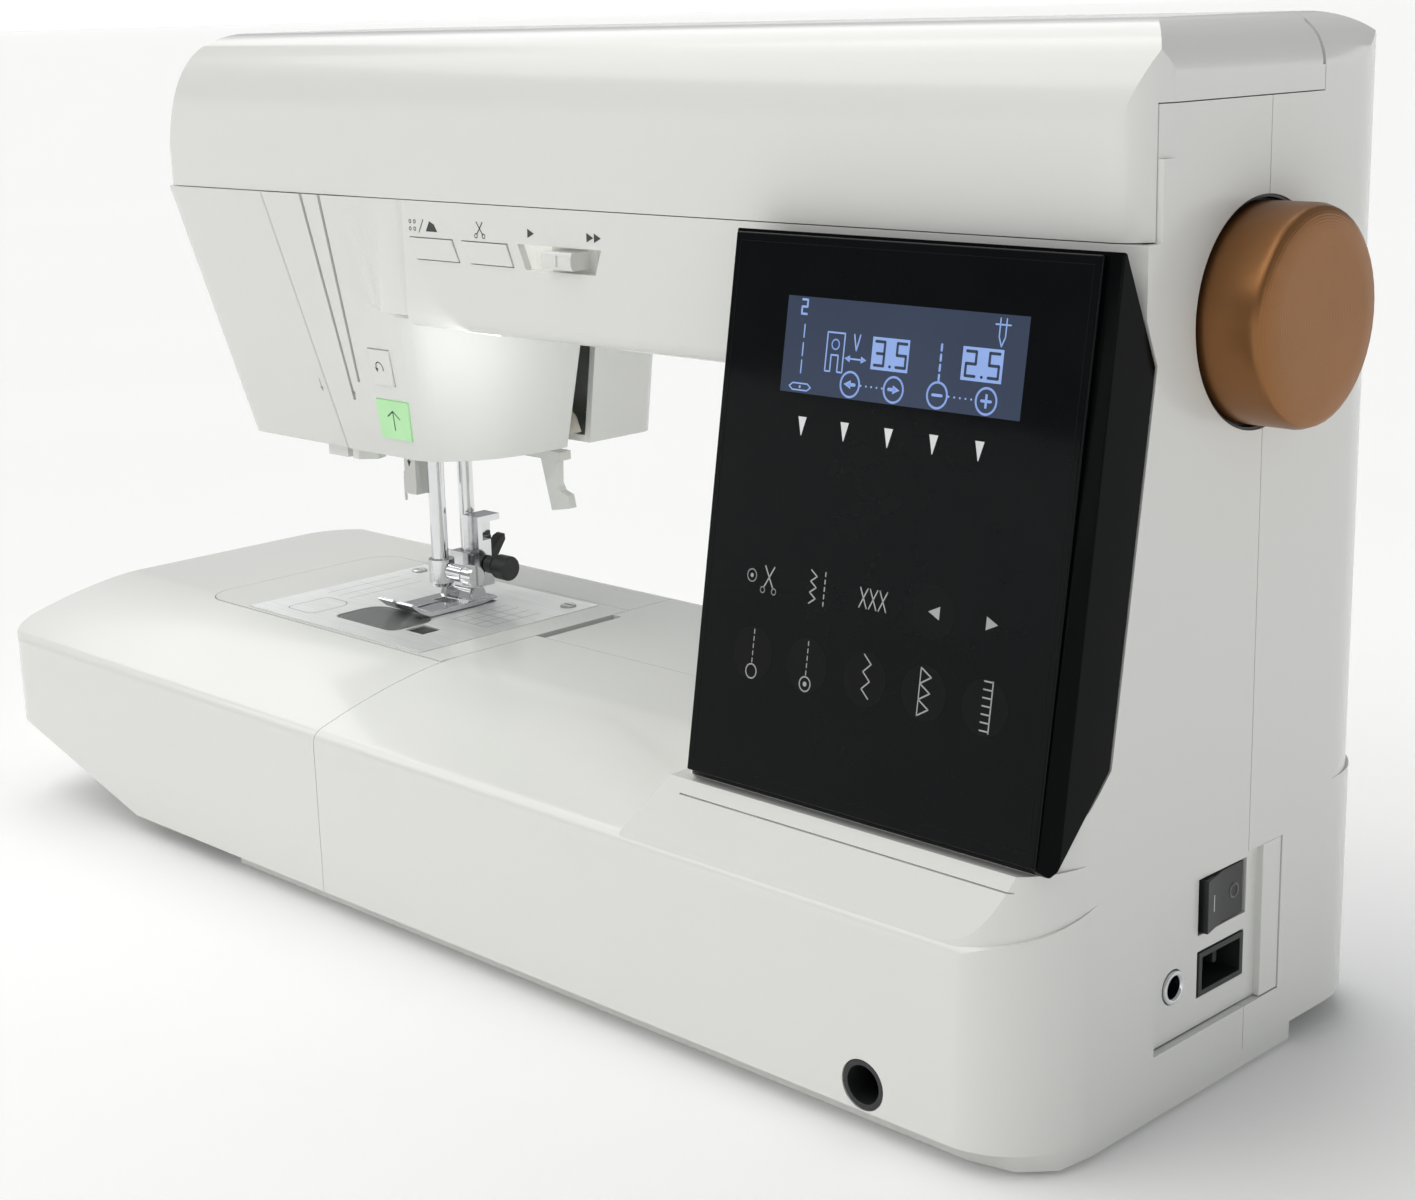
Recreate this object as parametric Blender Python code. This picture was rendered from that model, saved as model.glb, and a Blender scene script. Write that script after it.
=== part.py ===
"""Computerised sewing machine with a flat extension table, a touch panel and a rotary hook.

Frame: +X runs along the arm to the handwheel, -Y is the side the user sits at, +Z is up.
The origin is the bottom centre of the bounding box. Sizes below are in millimetres.
"""

import math

import bmesh
import bpy
from mathutils import Vector
from mathutils.geometry import convex_hull_2d

MM = 0.001
GAP = 0.3  # clearance between pieces that touch or slide
WALL = 2.6  # moulded cover thickness

# Overall body
TABLE_LEFT = -265.0
RIGHT = 246.4
FRONT = -88.0
BACK = 88.0
ARM_BACK = 86.0
TOP = 293.7
BODY_BOTTOM = 6.9
TRAY_BOTTOM = 0.7

# Bed
BED_TOP = 77.0
BED_EDGE = 63.7  # height of the front edge, below the crowned top
SEAM_X = -55.0  # where the extension table meets the fixed bed
SPLIT_Y = 13.0  # seam between the front and the rear cover
CORNER_FRONT = 26.0
CORNER_BACK = 30.0

# Arm, column and lid
ARM_FRONT = -41.3
ARM_BOTTOM = 197.0
GROOVE = 239.7  # underside of the lid
LID_SIDE = 273.5  # underside of the lid at the right end
LID_BACK = 38.3
LID_AXIS = (37.1, 292.5)  # y and z of the lid's hinge, in the bead along its back edge
LID_KNUCKLES = (-120.0, 60.0, 200.0)
LID_THICK = 2.4
COLUMN_LEFT = 116.0
ARM_SPLIT_X = -50.0  # seam between the head covers and the arm

# Head
HEAD_LEFT = -193.5
HEAD_BOTTOM = 142.0
FACE_SEAM_X = -130.0
SIDE_SLOT = (40.0, 51.3)  # gap in the head's right side for the presser lifter
LEAN = 0.319  # the head's front goes back this much for each unit down

# Control panel: its outline seen from the side, as (y, z)
PANEL_LEFT = 115.8
PANEL_FRONT_TOP = (-55.0, 239.0)
PANEL_FRONT_BOTTOM = (-81.1, 86.6)
PANEL_BACK = [(-76.7, 84.4), (-53.4, 107.5), (-36.7, 209.1), (-49.6, 238.6)]
GLASS = 1.6
LCD_BOX = (140.8, 224.0, 195.8, 223.1)  # x low, x high, z low, z high

# Stitching parts
BAR = (-116.2, 18.7)  # needle bar axis, x and y
BAR_R = 3.25
NEEDLE = (-115.2, 19.7)
PRESSER = (-116.2, 32.9)
PRESSER_R = 3.0
PLATE = (-176.0, -69.5, -29.5, 57.0)  # x low, x high, y low, y high
PLATE_TOP = 77.3
PLATE_THICK = 1.4
HOOK = (-117.0, -1.5)  # hook axis, x and y
HOOK_R = 20.0
FREE_ARM = (-205.5, -55.3, -31.2, 59.5)  # x low, x high, y low, y high

# Drive
SHAFT = (11.0, 217.3)  # main shaft axis, y and z
SHAFT_R = 4.0
LOWER = (11.0, 38.0)  # lower shaft axis, y and z
MOTOR = (52.0, 112.0)  # motor axis, y and z
WHEEL_R = 29.3
WHEEL_FACE = 265.0
PULLEY_R = 12.0
DRIVE_PULLEY_R = 16.0
MOTOR_PULLEY_R = 5.0
BELT_THICK = 1.5


def clear_scene():
    for obj in list(bpy.data.objects):
        bpy.data.objects.remove(obj)


def material(name, color, metallic=0.0, roughness=0.4, alpha=1.0):
    made = bpy.data.materials.new(name)
    made.use_nodes = True
    shader = made.node_tree.nodes["Principled BSDF"]
    shader.inputs["Base Color"].default_value = (*color, 1.0)
    shader.inputs["Metallic"].default_value = metallic
    shader.inputs["Roughness"].default_value = roughness
    shader.inputs["Alpha"].default_value = alpha
    made.diffuse_color = (*color, alpha)
    return made


# ---------------------------------------------------------------- shapes


def to_object(bm, name="shape"):
    bmesh.ops.recalc_face_normals(bm, faces=bm.faces)
    mesh = bpy.data.meshes.new(name)
    bm.to_mesh(mesh)
    bm.free()
    obj = bpy.data.objects.new(name, mesh)
    bpy.context.scene.collection.objects.link(obj)
    return obj


def place(axis, a, b, along):
    """A point from its two coordinates across the axis, in x, y, z order, and the one along it."""
    if axis == "X":
        return Vector((along, a, b)) * MM
    if axis == "Y":
        return Vector((a, along, b)) * MM
    return Vector((a, b, along)) * MM


def prism(axis, outline, low, high):
    bm = bmesh.new()
    first = [bm.verts.new(place(axis, a, b, low)) for a, b in outline]
    last = [bm.verts.new(place(axis, a, b, high)) for a, b in outline]
    bm.faces.new(first)
    bm.faces.new(last)
    for i in range(len(outline)):
        j = (i + 1) % len(outline)
        bm.faces.new((first[i], first[j], last[j], last[i]))
    return to_object(bm)


def box(x0, x1, y0, y1, z0, z1):
    return prism("Z", [(x0, y0), (x1, y0), (x1, y1), (x0, y1)], z0, z1)


def loft(levels):
    """A solid through outlines of equal length, each given as (z, [(x, y), ...])."""
    bm = bmesh.new()
    rings = [[bm.verts.new(place("Z", x, y, z)) for x, y in ring] for z, ring in levels]
    bm.faces.new(rings[0])
    bm.faces.new(rings[-1])
    for low, high in zip(rings, rings[1:]):
        for i in range(len(low)):
            j = (i + 1) % len(low)
            bm.faces.new((low[i], low[j], high[j]))
            bm.faces.new((low[i], high[j], high[i]))
    return to_object(bm)


def hull(points):
    bm = bmesh.new()
    for point in points:
        bm.verts.new(Vector(point) * MM)
    made = bmesh.ops.convex_hull(bm, input=bm.verts)
    spare = [item for item in made["geom_interior"] if isinstance(item, bmesh.types.BMVert)]
    bmesh.ops.delete(bm, geom=spare, context="VERTS")
    return to_object(bm)


def turned(axis, centre, profile, steps=24, ring=False):
    """A solid of revolution: profile is (radius, place along the axis); a ring profile closes on itself."""
    bm = bmesh.new()
    rows = []
    for radius, along in profile:
        if radius == 0:
            rows.append([bm.verts.new(place(axis, centre[0], centre[1], along))])
            continue
        row = []
        for k in range(steps):
            turn = 2 * math.pi * (k + 0.5) / steps
            a = centre[0] + radius * math.cos(turn)
            b = centre[1] + radius * math.sin(turn)
            row.append(bm.verts.new(place(axis, a, b, along)))
        rows.append(row)
    pairs = list(zip(rows, rows[1:]))
    if ring:
        pairs.append((rows[-1], rows[0]))
    for low, high in pairs:
        for k in range(steps):
            j = (k + 1) % steps
            corners = [low[k % len(low)], low[j % len(low)], high[j % len(high)], high[k % len(high)]]
            unique = list(dict.fromkeys(corners))
            if len(unique) > 2:
                bm.faces.new(unique)
    return to_object(bm)


def cylinder(axis, centre, radius, low, high, steps=24):
    return turned(axis, centre, [(0, low), (radius, low), (radius, high), (0, high)], steps)


def tube(axis, centre, inner, outer, low, high, steps=24):
    return turned(axis, centre, [(inner, low), (outer, low), (outer, high), (inner, high)], steps, ring=True)


def combine(kind, target, tools):
    """Applies one Boolean for each tool and removes the tool."""
    for tool in tools:
        change = target.modifiers.new("combine", "BOOLEAN")
        change.operation = kind
        change.solver = "EXACT"
        change.object = tool
        graph = bpy.context.evaluated_depsgraph_get()
        mesh = bpy.data.meshes.new_from_object(target.evaluated_get(graph))
        target.modifiers.clear()
        target.data = mesh
        bpy.data.objects.remove(tool)
    return target


def cut(target, *tools):
    return combine("DIFFERENCE", target, tools)


def join(target, *tools):
    return combine("UNION", target, tools)


def keep(target, *tools):
    return combine("INTERSECT", target, tools)


def finish(obj, name, look, smooth=False):
    obj.name = name
    obj.data.name = name
    obj.data.materials.clear()
    obj.data.materials.append(look)
    for face in obj.data.polygons:
        face.material_index = 0
        face.use_smooth = smooth
    if smooth:
        obj.data.set_sharp_from_angle(angle=math.radians(38))
    return obj


def pivot(obj, point):
    """Puts the object's origin on its joint axis and leaves its shape where it is."""
    origin = Vector(point) * MM
    obj.data.transform(obj.matrix_world.inverted())
    for vertex in obj.data.vertices:
        vertex.co -= origin
    obj.location = origin
    return obj


def arc(cx, cy, radius, start, end, steps):
    points = []
    for k in range(steps + 1):
        turn = math.radians(start + (end - start) * k / steps)
        points.append((cx + radius * math.cos(turn), cy + radius * math.sin(turn)))
    return points


def rounded(x0, x1, y0, y1, radii, steps=5):
    """A rectangle with its own radius at each corner: front left, front right, back right, back left."""
    fl, fr, br, bl = (max(r, 0.01) for r in radii)
    outline = arc(x0 + fl, y0 + fl, fl, 180, 270, steps if fl > 0.1 else 1)
    outline += arc(x1 - fr, y0 + fr, fr, 270, 360, steps if fr > 0.1 else 1)
    outline += arc(x1 - br, y1 - br, br, 0, 90, steps if br > 0.1 else 1)
    outline += arc(x0 + bl, y1 - bl, bl, 90, 180, steps if bl > 0.1 else 1)
    return outline


def belt(x0, x1, first, r1, second, r2):
    """A closed belt in the plane across X around two pulleys."""

    def loop(extra):
        points = []
        for (a, b), radius in ((first, r1 + extra), (second, r2 + extra)):
            points += arc(a, b, radius, 0, 345, 23)
        return [points[i] for i in convex_hull_2d([Vector(p) for p in points])]

    band = prism("X", loop(GAP + BELT_THICK), x0, x1)
    return cut(band, prism("X", loop(GAP), x0 - 1, x1 + 1))


def lean_y(z):
    """The head's leaning front at height z."""
    return ARM_FRONT + LEAN * (237.0 - z)


def on_lean(outline, out, back):
    """A slab on the head's leaning front: outline is (x, z); it runs from out ahead of it to back behind it."""
    normal = Vector((0, -1, -LEAN)).normalized()
    points = []
    for x, z in outline:
        base = Vector((x, lean_y(z), z))
        points += [base + normal * out, base - normal * back]
    return hull(points)


def grown(outline, by):
    """A small four-sided outline made larger all round."""
    cx = sum(p[0] for p in outline) / len(outline)
    cz = sum(p[1] for p in outline) / len(outline)
    return [(x + math.copysign(by, x - cx), z + math.copysign(by, z - cz)) for x, z in outline]


# ---------------------------------------------------------------- covers


def bed_profile(inset, bottom):
    """The bed's outline across X: a low front edge, a crowned top and a square back."""
    crown = [(-83, 65.4), (-76, 67.6), (-65, 70.6), (-55, 73.0), (-45, 74.9), (-35, 76.2), (-26, BED_TOP)]
    outline = [(FRONT + inset, bottom), (FRONT + inset, BED_EDGE - inset)]
    outline += [(y, z - inset) for y, z in crown]
    outline += [(82, BED_TOP - inset), (86.2 - inset, 75.2 - inset), (BACK - inset, 71 - inset)]
    return outline + [(BACK - inset, bottom)]


def fixed_bed(inset):
    low = BODY_BOTTOM if inset == 0 else -5.0
    left = SEAM_X + GAP / 2 if inset == 0 else SEAM_X - 5
    bed = prism("X", bed_profile(inset, low), left, RIGHT - inset)
    radii = (0, CORNER_FRONT - inset, CORNER_BACK - inset, 0)
    plan = rounded(left - 1, RIGHT - inset, FRONT + inset, BACK - inset, radii)
    return keep(bed, prism("Z", plan, -10, 100))


def pedestal(inset):
    """The swelling of the bed that carries the control panel."""
    top = PANEL_BACK[0][1] - GAP - inset
    front = FRONT + 0.9 + inset
    right = RIGHT - 0.3 - inset
    rear = -40 - inset
    points = []
    for x, z in ((COLUMN_LEFT - 20 + inset, BED_EDGE - 3), (COLUMN_LEFT - 4 + inset, top), (right, top)):
        points += [(x, front, 60), (x, front, BED_EDGE + 0.6 - inset), (x, rear, 60), (x, rear, z)]
        points += [(x, PANEL_FRONT_BOTTOM[0] + 0.6 + inset, z)]
    plan = rounded(0, right, front + 0.2, BACK - inset, (0, CORNER_FRONT - inset, 1, 0), 7)
    return keep(hull(points), prism("Z", plan, 50, 100))


def column(inset):
    """The post between bed and arm, hollowed behind the control panel."""
    slip = GAP + inset
    outline = [(y + slip, z) for y, z in PANEL_BACK[:3]]
    outline += [(ARM_FRONT + inset, 221), (ARM_FRONT + inset, 260 - inset), (ARM_BACK - inset, 260 - inset)]
    outline += [(ARM_BACK - inset, 70 - inset), (PANEL_BACK[0][0] + slip, 70 - inset)]
    post = prism("X", outline, COLUMN_LEFT + inset, RIGHT - inset)
    radii = (8, CORNER_FRONT + 2 - inset, CORNER_BACK - inset, 12)
    plan = rounded(COLUMN_LEFT + inset, RIGHT - inset, FRONT + 2 + inset, ARM_BACK - inset, radii)
    return keep(post, prism("Z", plan, 60, 265))


def arm_profile(inset):
    """The arm's outline across X: square front, flat top, large round at the upper back."""
    outline = [(ARM_FRONT + inset, 202), (-39.8 + inset, 198.5 + inset), (-36.3 + inset, ARM_BOTTOM + inset)]
    outline += [(80 - inset, ARM_BOTTOM + inset), (84.2 - inset, 198.8 + inset), (ARM_BACK - inset, 203)]
    outline += arc(ARM_BACK - 38, TOP - 38, 38 - inset, 0, 90, 7)
    return outline + [(ARM_FRONT + inset, TOP - inset)]


def arm(inset, left):
    """The arm; where it reaches the head's left end, its end slopes up like the lid's."""
    beam = prism("X", arm_profile(inset), left, RIGHT - inset)
    plan = rounded(left, RIGHT - inset, ARM_FRONT + inset, ARM_BACK - inset, (0, 12, CORNER_BACK - inset, 0))
    front = [(left, 150), (RIGHT - inset, 150)] + arc(RIGHT - 14, TOP - 14, 14 - inset, 0, 90, 5)
    if left < FACE_SEAM_X:
        front += [(left + 27, TOP - inset), (left + 19, 289.5 - inset / 2), (left + 14, 281), (left, 242)]
    else:
        front.append((left, TOP - inset))
    return keep(beam, prism("Z", plan, 150, TOP + 26), prism("Y", front, -60, 100))


def head_back(inset):
    """The rear part of the head that hangs below the arm."""
    right = ARM_SPLIT_X - 4 - inset
    levels = []
    for z, narrow in ((HEAD_BOTTOM + inset, 10.0), (215, 0.0)):
        ring = rounded(
            HEAD_LEFT + inset, right - narrow, SIDE_SLOT[1] - 8 * (inset > 0), ARM_BACK - inset, (0.02, 0.02, 8, 8), 3
        )
        levels.append((z, ring))
    return loft(levels)


def body(inset, left):
    return join(fixed_bed(inset), pedestal(inset), column(inset), arm(inset, left))


def lid_space():
    """The room that the lid takes from the covers under it."""
    space = box(-250, RIGHT - 10, -60, LID_BACK + GAP, GROOVE - GAP, 330)
    right_end = box(RIGHT - 11, RIGHT + 10, -60, LID_BACK + GAP, LID_SIDE - GAP, 330)
    corner = box(RIGHT - 11, RIGHT + 10, -60, -35.4, GROOVE - GAP, 330)
    return join(space, right_end, corner)


def wheel_opening():
    return cylinder("X", SHAFT, WHEEL_R + 1.7, RIGHT - 12, RIGHT + 12, 40)


SOCKET_PANEL = (-31.5, 30.8, 20.0, 66.8)  # y low, y high, z low, z high


def socket_opening():
    y0, y1, z0, z1 = SOCKET_PANEL
    return box(RIGHT - 20, RIGHT + 5, y0, y1, z0, z1)


KNEE = (191.2, 14.6)  # knee-lifter socket, x and z
KNEE_R = 7.2

NEEDLE_BUTTON = [(-46.0, 227.3), (-24.0, 227.3), (-20.5, 220.4), (-42.5, 220.4)]
CUTTER_BUTTON = [(-19.0, 227.3), (3.5, 227.3), (6.5, 220.4), (-14.5, 220.4)]
SPEED_RECESS = [(9.0, 227.5), (47.5, 227.5), (44.5, 220.2), (12.5, 220.2)]
START_STOP = [(-100.8, 164.6), (-82.6, 164.6), (-87.4, 149.6), (-104.5, 149.6)]
REVERSE = [(-96.0, 184.0), (-84.0, 184.0), (-87.0, 170.6), (-98.6, 170.6)]


def front_shell(look):
    shell = cut(body(0, ARM_SPLIT_X + GAP / 2), body(WALL, ARM_SPLIT_X - 5))
    shell = keep(shell, box(-300, 300, -120, SPLIT_Y - GAP / 2, 0, 330))
    shell = cut(shell, lid_space(), wheel_opening(), socket_opening(), panel_space())
    cut(shell, cylinder("Y", KNEE, KNEE_R + GAP, -100, -60, 20))
    for outline in (NEEDLE_BUTTON, CUTTER_BUTTON, SPEED_RECESS):
        cut(shell, prism("Y", grown(outline, GAP), ARM_FRONT - 5, ARM_FRONT + 8))
    return finish(shell, "front_shell", look, True)


def panel_space():
    """The room that the control panel takes from the front cover."""
    outline = [(y + GAP / 2, z) for y, z in PANEL_BACK]
    outline += [(-110, PANEL_BACK[3][1]), (-110, PANEL_BACK[0][1])]
    return prism("X", outline, PANEL_LEFT - GAP, RIGHT + 5)


HANDLE_X = (0.0, 120.0)
HANDLE_PIVOT = (56.0, 281.5)  # y and z


def handle_well():
    """Floor and sides of the pocket that holds the folded handle."""
    outline = [(45, 291), (45, 275), (63, 257), (84.5, 247), (85.5, 262), (76, 280), (60, 290)]
    return prism("X", outline, HANDLE_X[0] - 6, HANDLE_X[1] + 6)


def handle_pocket():
    outline = [(49.5, 310), (49.5, 277.5), (66, 260.5), (100, 245), (100, 310)]
    return prism("X", outline, HANDLE_X[0] - 3, HANDLE_X[1] + 3)


def rear_shell(look):
    outside = join(body(0, HEAD_LEFT), head_back(0))
    inside = join(body(WALL, HEAD_LEFT + WALL), head_back(WALL))
    shell = cut(outside, inside)
    head_side = box(HEAD_LEFT - 5, ARM_SPLIT_X, -120, SIDE_SLOT[1], 0, GROOVE)
    shell = keep(shell, box(-300, 300, SPLIT_Y + GAP / 2, 120, 0, 330))
    shell = cut(shell, head_side, lid_space())
    shell = join(shell, handle_well())
    shell = cut(shell, handle_pocket(), wheel_opening(), socket_opening())
    pin = cylinder("X", HANDLE_PIVOT, 2.3, HANDLE_X[0] - 4.8, HANDLE_X[1] + 4.8, 16)
    return finish(cut(shell, pin), "rear_shell", look, True)


def carry_handle(look):
    (py, pz), (x0, x1) = HANDLE_PIVOT, HANDLE_X
    leg = [(py - 3.4, pz - 1.5), (py - 1.5, pz + 3.0), (py + 3, pz + 2.6), (80, 262), (76.5, 258.5)]
    handle = prism("X", leg, x0, x1)
    gap = [(py - 10, pz + 12), (py - 10, pz - 12), (64.5, 264), (70, 274), (66, 286)]
    cut(handle, prism("X", gap, x0 + 9, x1 - 9))
    for a, b in ((x0 - 2.6, x0 + 1), (x1 - 1, x1 + 2.6)):
        join(handle, cylinder("X", HANDLE_PIVOT, 2.0, a, b, 16))
    return pivot(finish(handle, "carry_handle", look), (60, *HANDLE_PIVOT))


def face_cover(look):
    def levels(inset, low, high):
        rings = []
        for z in (low, high):
            y = lean_y(z) + inset
            ring = [(FACE_SEAM_X - GAP / 2 + 5 * (inset > 0), y)]
            ring += [(HEAD_LEFT + 6, y), (HEAD_LEFT + 2 + inset, y + 1.6), (HEAD_LEFT + inset, y + 6)]
            back = SIDE_SLOT[1] - GAP + 5 * (inset > 0)
            rings.append((z, ring + [(HEAD_LEFT + inset, back), (FACE_SEAM_X - GAP / 2 + 5 * (inset > 0), back)]))
        return rings

    cover = loft(levels(0, HEAD_BOTTOM, GROOVE - GAP))
    cut(cover, loft(levels(WALL, HEAD_BOTTOM + WALL, GROOVE + 8)))
    cut(cover, box(-146, FACE_SEAM_X + 5, 6, SIDE_SLOT[1] + 2, HEAD_BOTTOM - 3, HEAD_BOTTOM + 5))
    return finish(cover, "face_cover", look, True)


def head_ring(z, inset):
    """The head cover's outline at height z: below the arm its right side rounds back to the slot."""
    left = FACE_SEAM_X + GAP / 2 - 5 * (inset > 0)
    back = SIDE_SLOT[0] + 5 * (inset > 0)
    y = lean_y(z) + inset
    if z > ARM_BOTTOM + WALL + 1:
        front = ARM_FRONT + inset
        right = ARM_SPLIT_X - GAP / 2 + 5 * (inset > 0)
        ring = [(left, y), (-84, y), (-77 + inset, y * 0.72 + front * 0.28)]
        ring += [(-69 + inset, y * 0.25 + front * 0.75), (-62 + inset, front), (right - 2, front)]
        return ring + [(right, front + 0.5), (right, back), (left, back)]
    t = (z - HEAD_BOTTOM) / (ARM_BOTTOM - HEAD_BOTTOM)
    edge = -84.5 + 16.5 * t - inset
    side = -64 + 13.5 * t - inset
    deep = (SIDE_SLOT[0] - 6 - y) / 46.0
    ring = [(left, y), (edge - 4, y), (edge + 2, y + 1.6), (edge + 0.35 * (side - edge), y + 6)]
    ring += [(side - 6, y + 15 * deep), (side - 1.5, y + 28 * deep)]
    return ring + [(side, SIDE_SLOT[0] - 5), (side, back), (left, back)]


def head_cover(look):
    heights = (HEAD_BOTTOM, 156.0, 170.0, 184.0, ARM_BOTTOM, ARM_BOTTOM + 4, GROOVE - GAP)
    cover = loft([(z, head_ring(z, 0)) for z in heights])
    inner = (HEAD_BOTTOM + WALL, 156.0, 170.0, 184.0, ARM_BOTTOM + WALL, ARM_BOTTOM + WALL + 4, GROOVE + 8)
    cut(cover, loft([(z, head_ring(z, WALL)) for z in inner]))
    cut(cover, box(FACE_SEAM_X - 5, -100, 8, SIDE_SLOT[0] + 5, HEAD_BOTTOM - 3, HEAD_BOTTOM + 5))
    for top_x, low_x, low_z in ((-105.8, -115.0, 162.6), (-95.0, -108.6, 170.0)):
        slot = [(top_x - 0.8, 234), (top_x + 0.8, 234), (low_x + 0.8, low_z), (low_x - 0.8, low_z)]
        cut(cover, on_lean(slot, 4, 6))
    for outline in (START_STOP, REVERSE):
        cut(cover, on_lean(grown(outline, GAP), 4, 6))
    return finish(cover, "head_cover", look, True)


def top_lid(look):
    left = HEAD_LEFT + 2.0

    def solid(inset):
        low = GROOVE if inset == 0 else GROOVE - 10
        side = [(ARM_FRONT + inset, low), (ARM_FRONT + inset, 262), (-40 + inset, 276), (-36.5 + inset, 285)]
        side += [(-30 + inset * 0.6, 290.8 - inset), (-20, TOP - inset)]
        back = LID_BACK - (0 if inset == 0 else -8)
        shape = prism("X", side + [(back, TOP - inset), (back, low)], left, RIGHT - inset)
        ends = [(left + inset, low), (left + inset, 243), (left + 12 + inset, 281), (left + 17 + inset, 289.5)]
        ends += [(left + 25 + inset, TOP - inset)]
        ends += arc(RIGHT - 14, TOP - 14, 14 - inset, 90, 0, 5) + [(RIGHT - inset, low)]
        plan = rounded(left, RIGHT - inset, ARM_FRONT + inset, back, (6, 12 - inset, 0, 0))
        return keep(shape, prism("Y", ends, -70, 60), prism("Z", plan, 200, TOP + 26))

    lid = cut(solid(0), solid(LID_THICK))
    cut(lid, box(RIGHT - 10, RIGHT + 5, -35.7, 60, GROOVE - 5, LID_SIDE))
    edge = prism("X", [(LID_AXIS[0], 280), (60, 280), (60, 300), (LID_AXIS[0], 300)], -300, 300)
    cut(lid, cut(edge, cylinder("X", LID_AXIS, LID_THICK / 2, -310, 310, 16)))
    for x in LID_KNUCKLES:
        cut(lid, box(x - 3, x + 3, LID_AXIS[0] - 1.6, 45, 288, 300))
    return pivot(finish(lid, "top_lid", look, True), (0, *LID_AXIS))


def top_deck(look):
    """The tray under the lid that carries the spool pin and the bobbin winder."""
    edge = HEAD_LEFT + WALL + 3.5
    plan = rounded(edge, RIGHT - WALL - 1.2, ARM_FRONT + WALL + GAP + 1, 48, (6, 12, 2, 2), 3)
    deck = prism("Z", plan, 236.3, 238.9)
    y, z = LID_AXIS
    for x in LID_KNUCKLES:
        join(deck, box(x - 2.7, x + 2.7, y - 5, y + 0.9, 238, z - 2.2))
        join(deck, box(x - 2.7, x + 2.7, y - 0.9, y + 0.9, z - 3, z))
        join(deck, cylinder("X", LID_AXIS, 1.1, x - 2.7, x + 2.7, 12))
    return finish(deck, "top_deck", look)


def extension_table(look):
    """Flat table around the free arm; it slides off to the left."""
    radii = (16, 0, 0, 28)

    def solid(inset):
        low = BODY_BOTTOM if inset == 0 else -5.0
        right = SEAM_X - GAP / 2 + (0 if inset == 0 else -inset)
        slab = prism("X", bed_profile(inset, low), TABLE_LEFT + inset, right)
        plan = rounded(
            TABLE_LEFT + inset, right, FRONT + inset, BACK - inset, [max(r - inset, 0) for r in radii]
        )
        return keep(slab, prism("Z", plan, -10, 100))

    x0, x1, y0, y1 = FREE_ARM
    table = cut(solid(0), solid(WALL))
    walls = box(x0 - GAP - WALL, x1 + 0.3, y0 - GAP - WALL, y1 + GAP + WALL, BODY_BOTTOM, BED_TOP - 1)
    join(table, keep(walls, box(-290, SEAM_X - GAP / 2, -120, 120, BODY_BOTTOM, 100)))
    cut(table, prism("Z", rounded(x0 - GAP, 0, y0 - GAP, y1 + GAP, (12 + GAP, 0, 0, 12 + GAP)), 0, 100))
    under = [(-300, 0), (-174.5, 0), (-174.5, BODY_BOTTOM), (-250, 28.5), (-300, 34)]
    cut(table, prism("Y", under, -120, 120))
    return finish(table, "extension_table", look, True)


def free_arm(look):
    x0, x1, y0, y1 = FREE_ARM
    sleeve = prism("Z", rounded(x0, x1, y0, y1, (12, 0, 0, 12)), 12.0, BED_TOP)
    inner = prism("Z", rounded(x0 + WALL, x1 + 5, y0 + WALL, y1 - WALL, (10, 0, 0, 10)), 14.6, BED_TOP - WALL)
    cut(sleeve, inner)
    px0, px1, py0, py1 = PLATE
    cut(sleeve, box(px0 - GAP, px1 + GAP, py0 - GAP, py1 + GAP, PLATE_TOP - PLATE_THICK - GAP, 90))
    cut(sleeve, box(px0 + 3, px1 - 3, py0 + 3, py1 - 3, 60, 90))
    return finish(sleeve, "free_arm", look, True)


def base_tray(look):
    notch = (196.0, 39.5)
    outline = [(-124, -72), (-115, -81.7), (222, -81.7), (236, -78.5), (244, -70), (RIGHT - 0.8, -58)]
    outline += [(RIGHT - 0.8, notch[1]), (notch[0], notch[1]), (notch[0], 81.5), (-115, 81.5), (-124, 72)]
    tray = prism("Z", outline, TRAY_BOTTOM, BODY_BOTTOM - GAP)
    rim = box(-50, 190, -60, 76, BODY_BOTTOM - GAP - 1, 12)
    join(tray, cut(rim, box(-47.5, 187.5, -57.5, 73.5, 0, 30)))
    for x, y in FEET:
        cut(tray, cylinder("Z", (x, y), 9.4, -1, 3.4, 20))
    return finish(tray, "base_tray", look)


FEET = ((-108.0, -68.0), (222.0, -62.0), (-108.0, 68.0), (180.0, 68.0))


def rubber_foot(name, where, look):
    foot = turned("Z", where, [(0, 0), (7.6, 0), (9.0, 1.2), (9.0, 3.1), (0, 3.1)], 20)
    return finish(foot, name, look, True)


# ---------------------------------------------------------------- control panel and buttons


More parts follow.
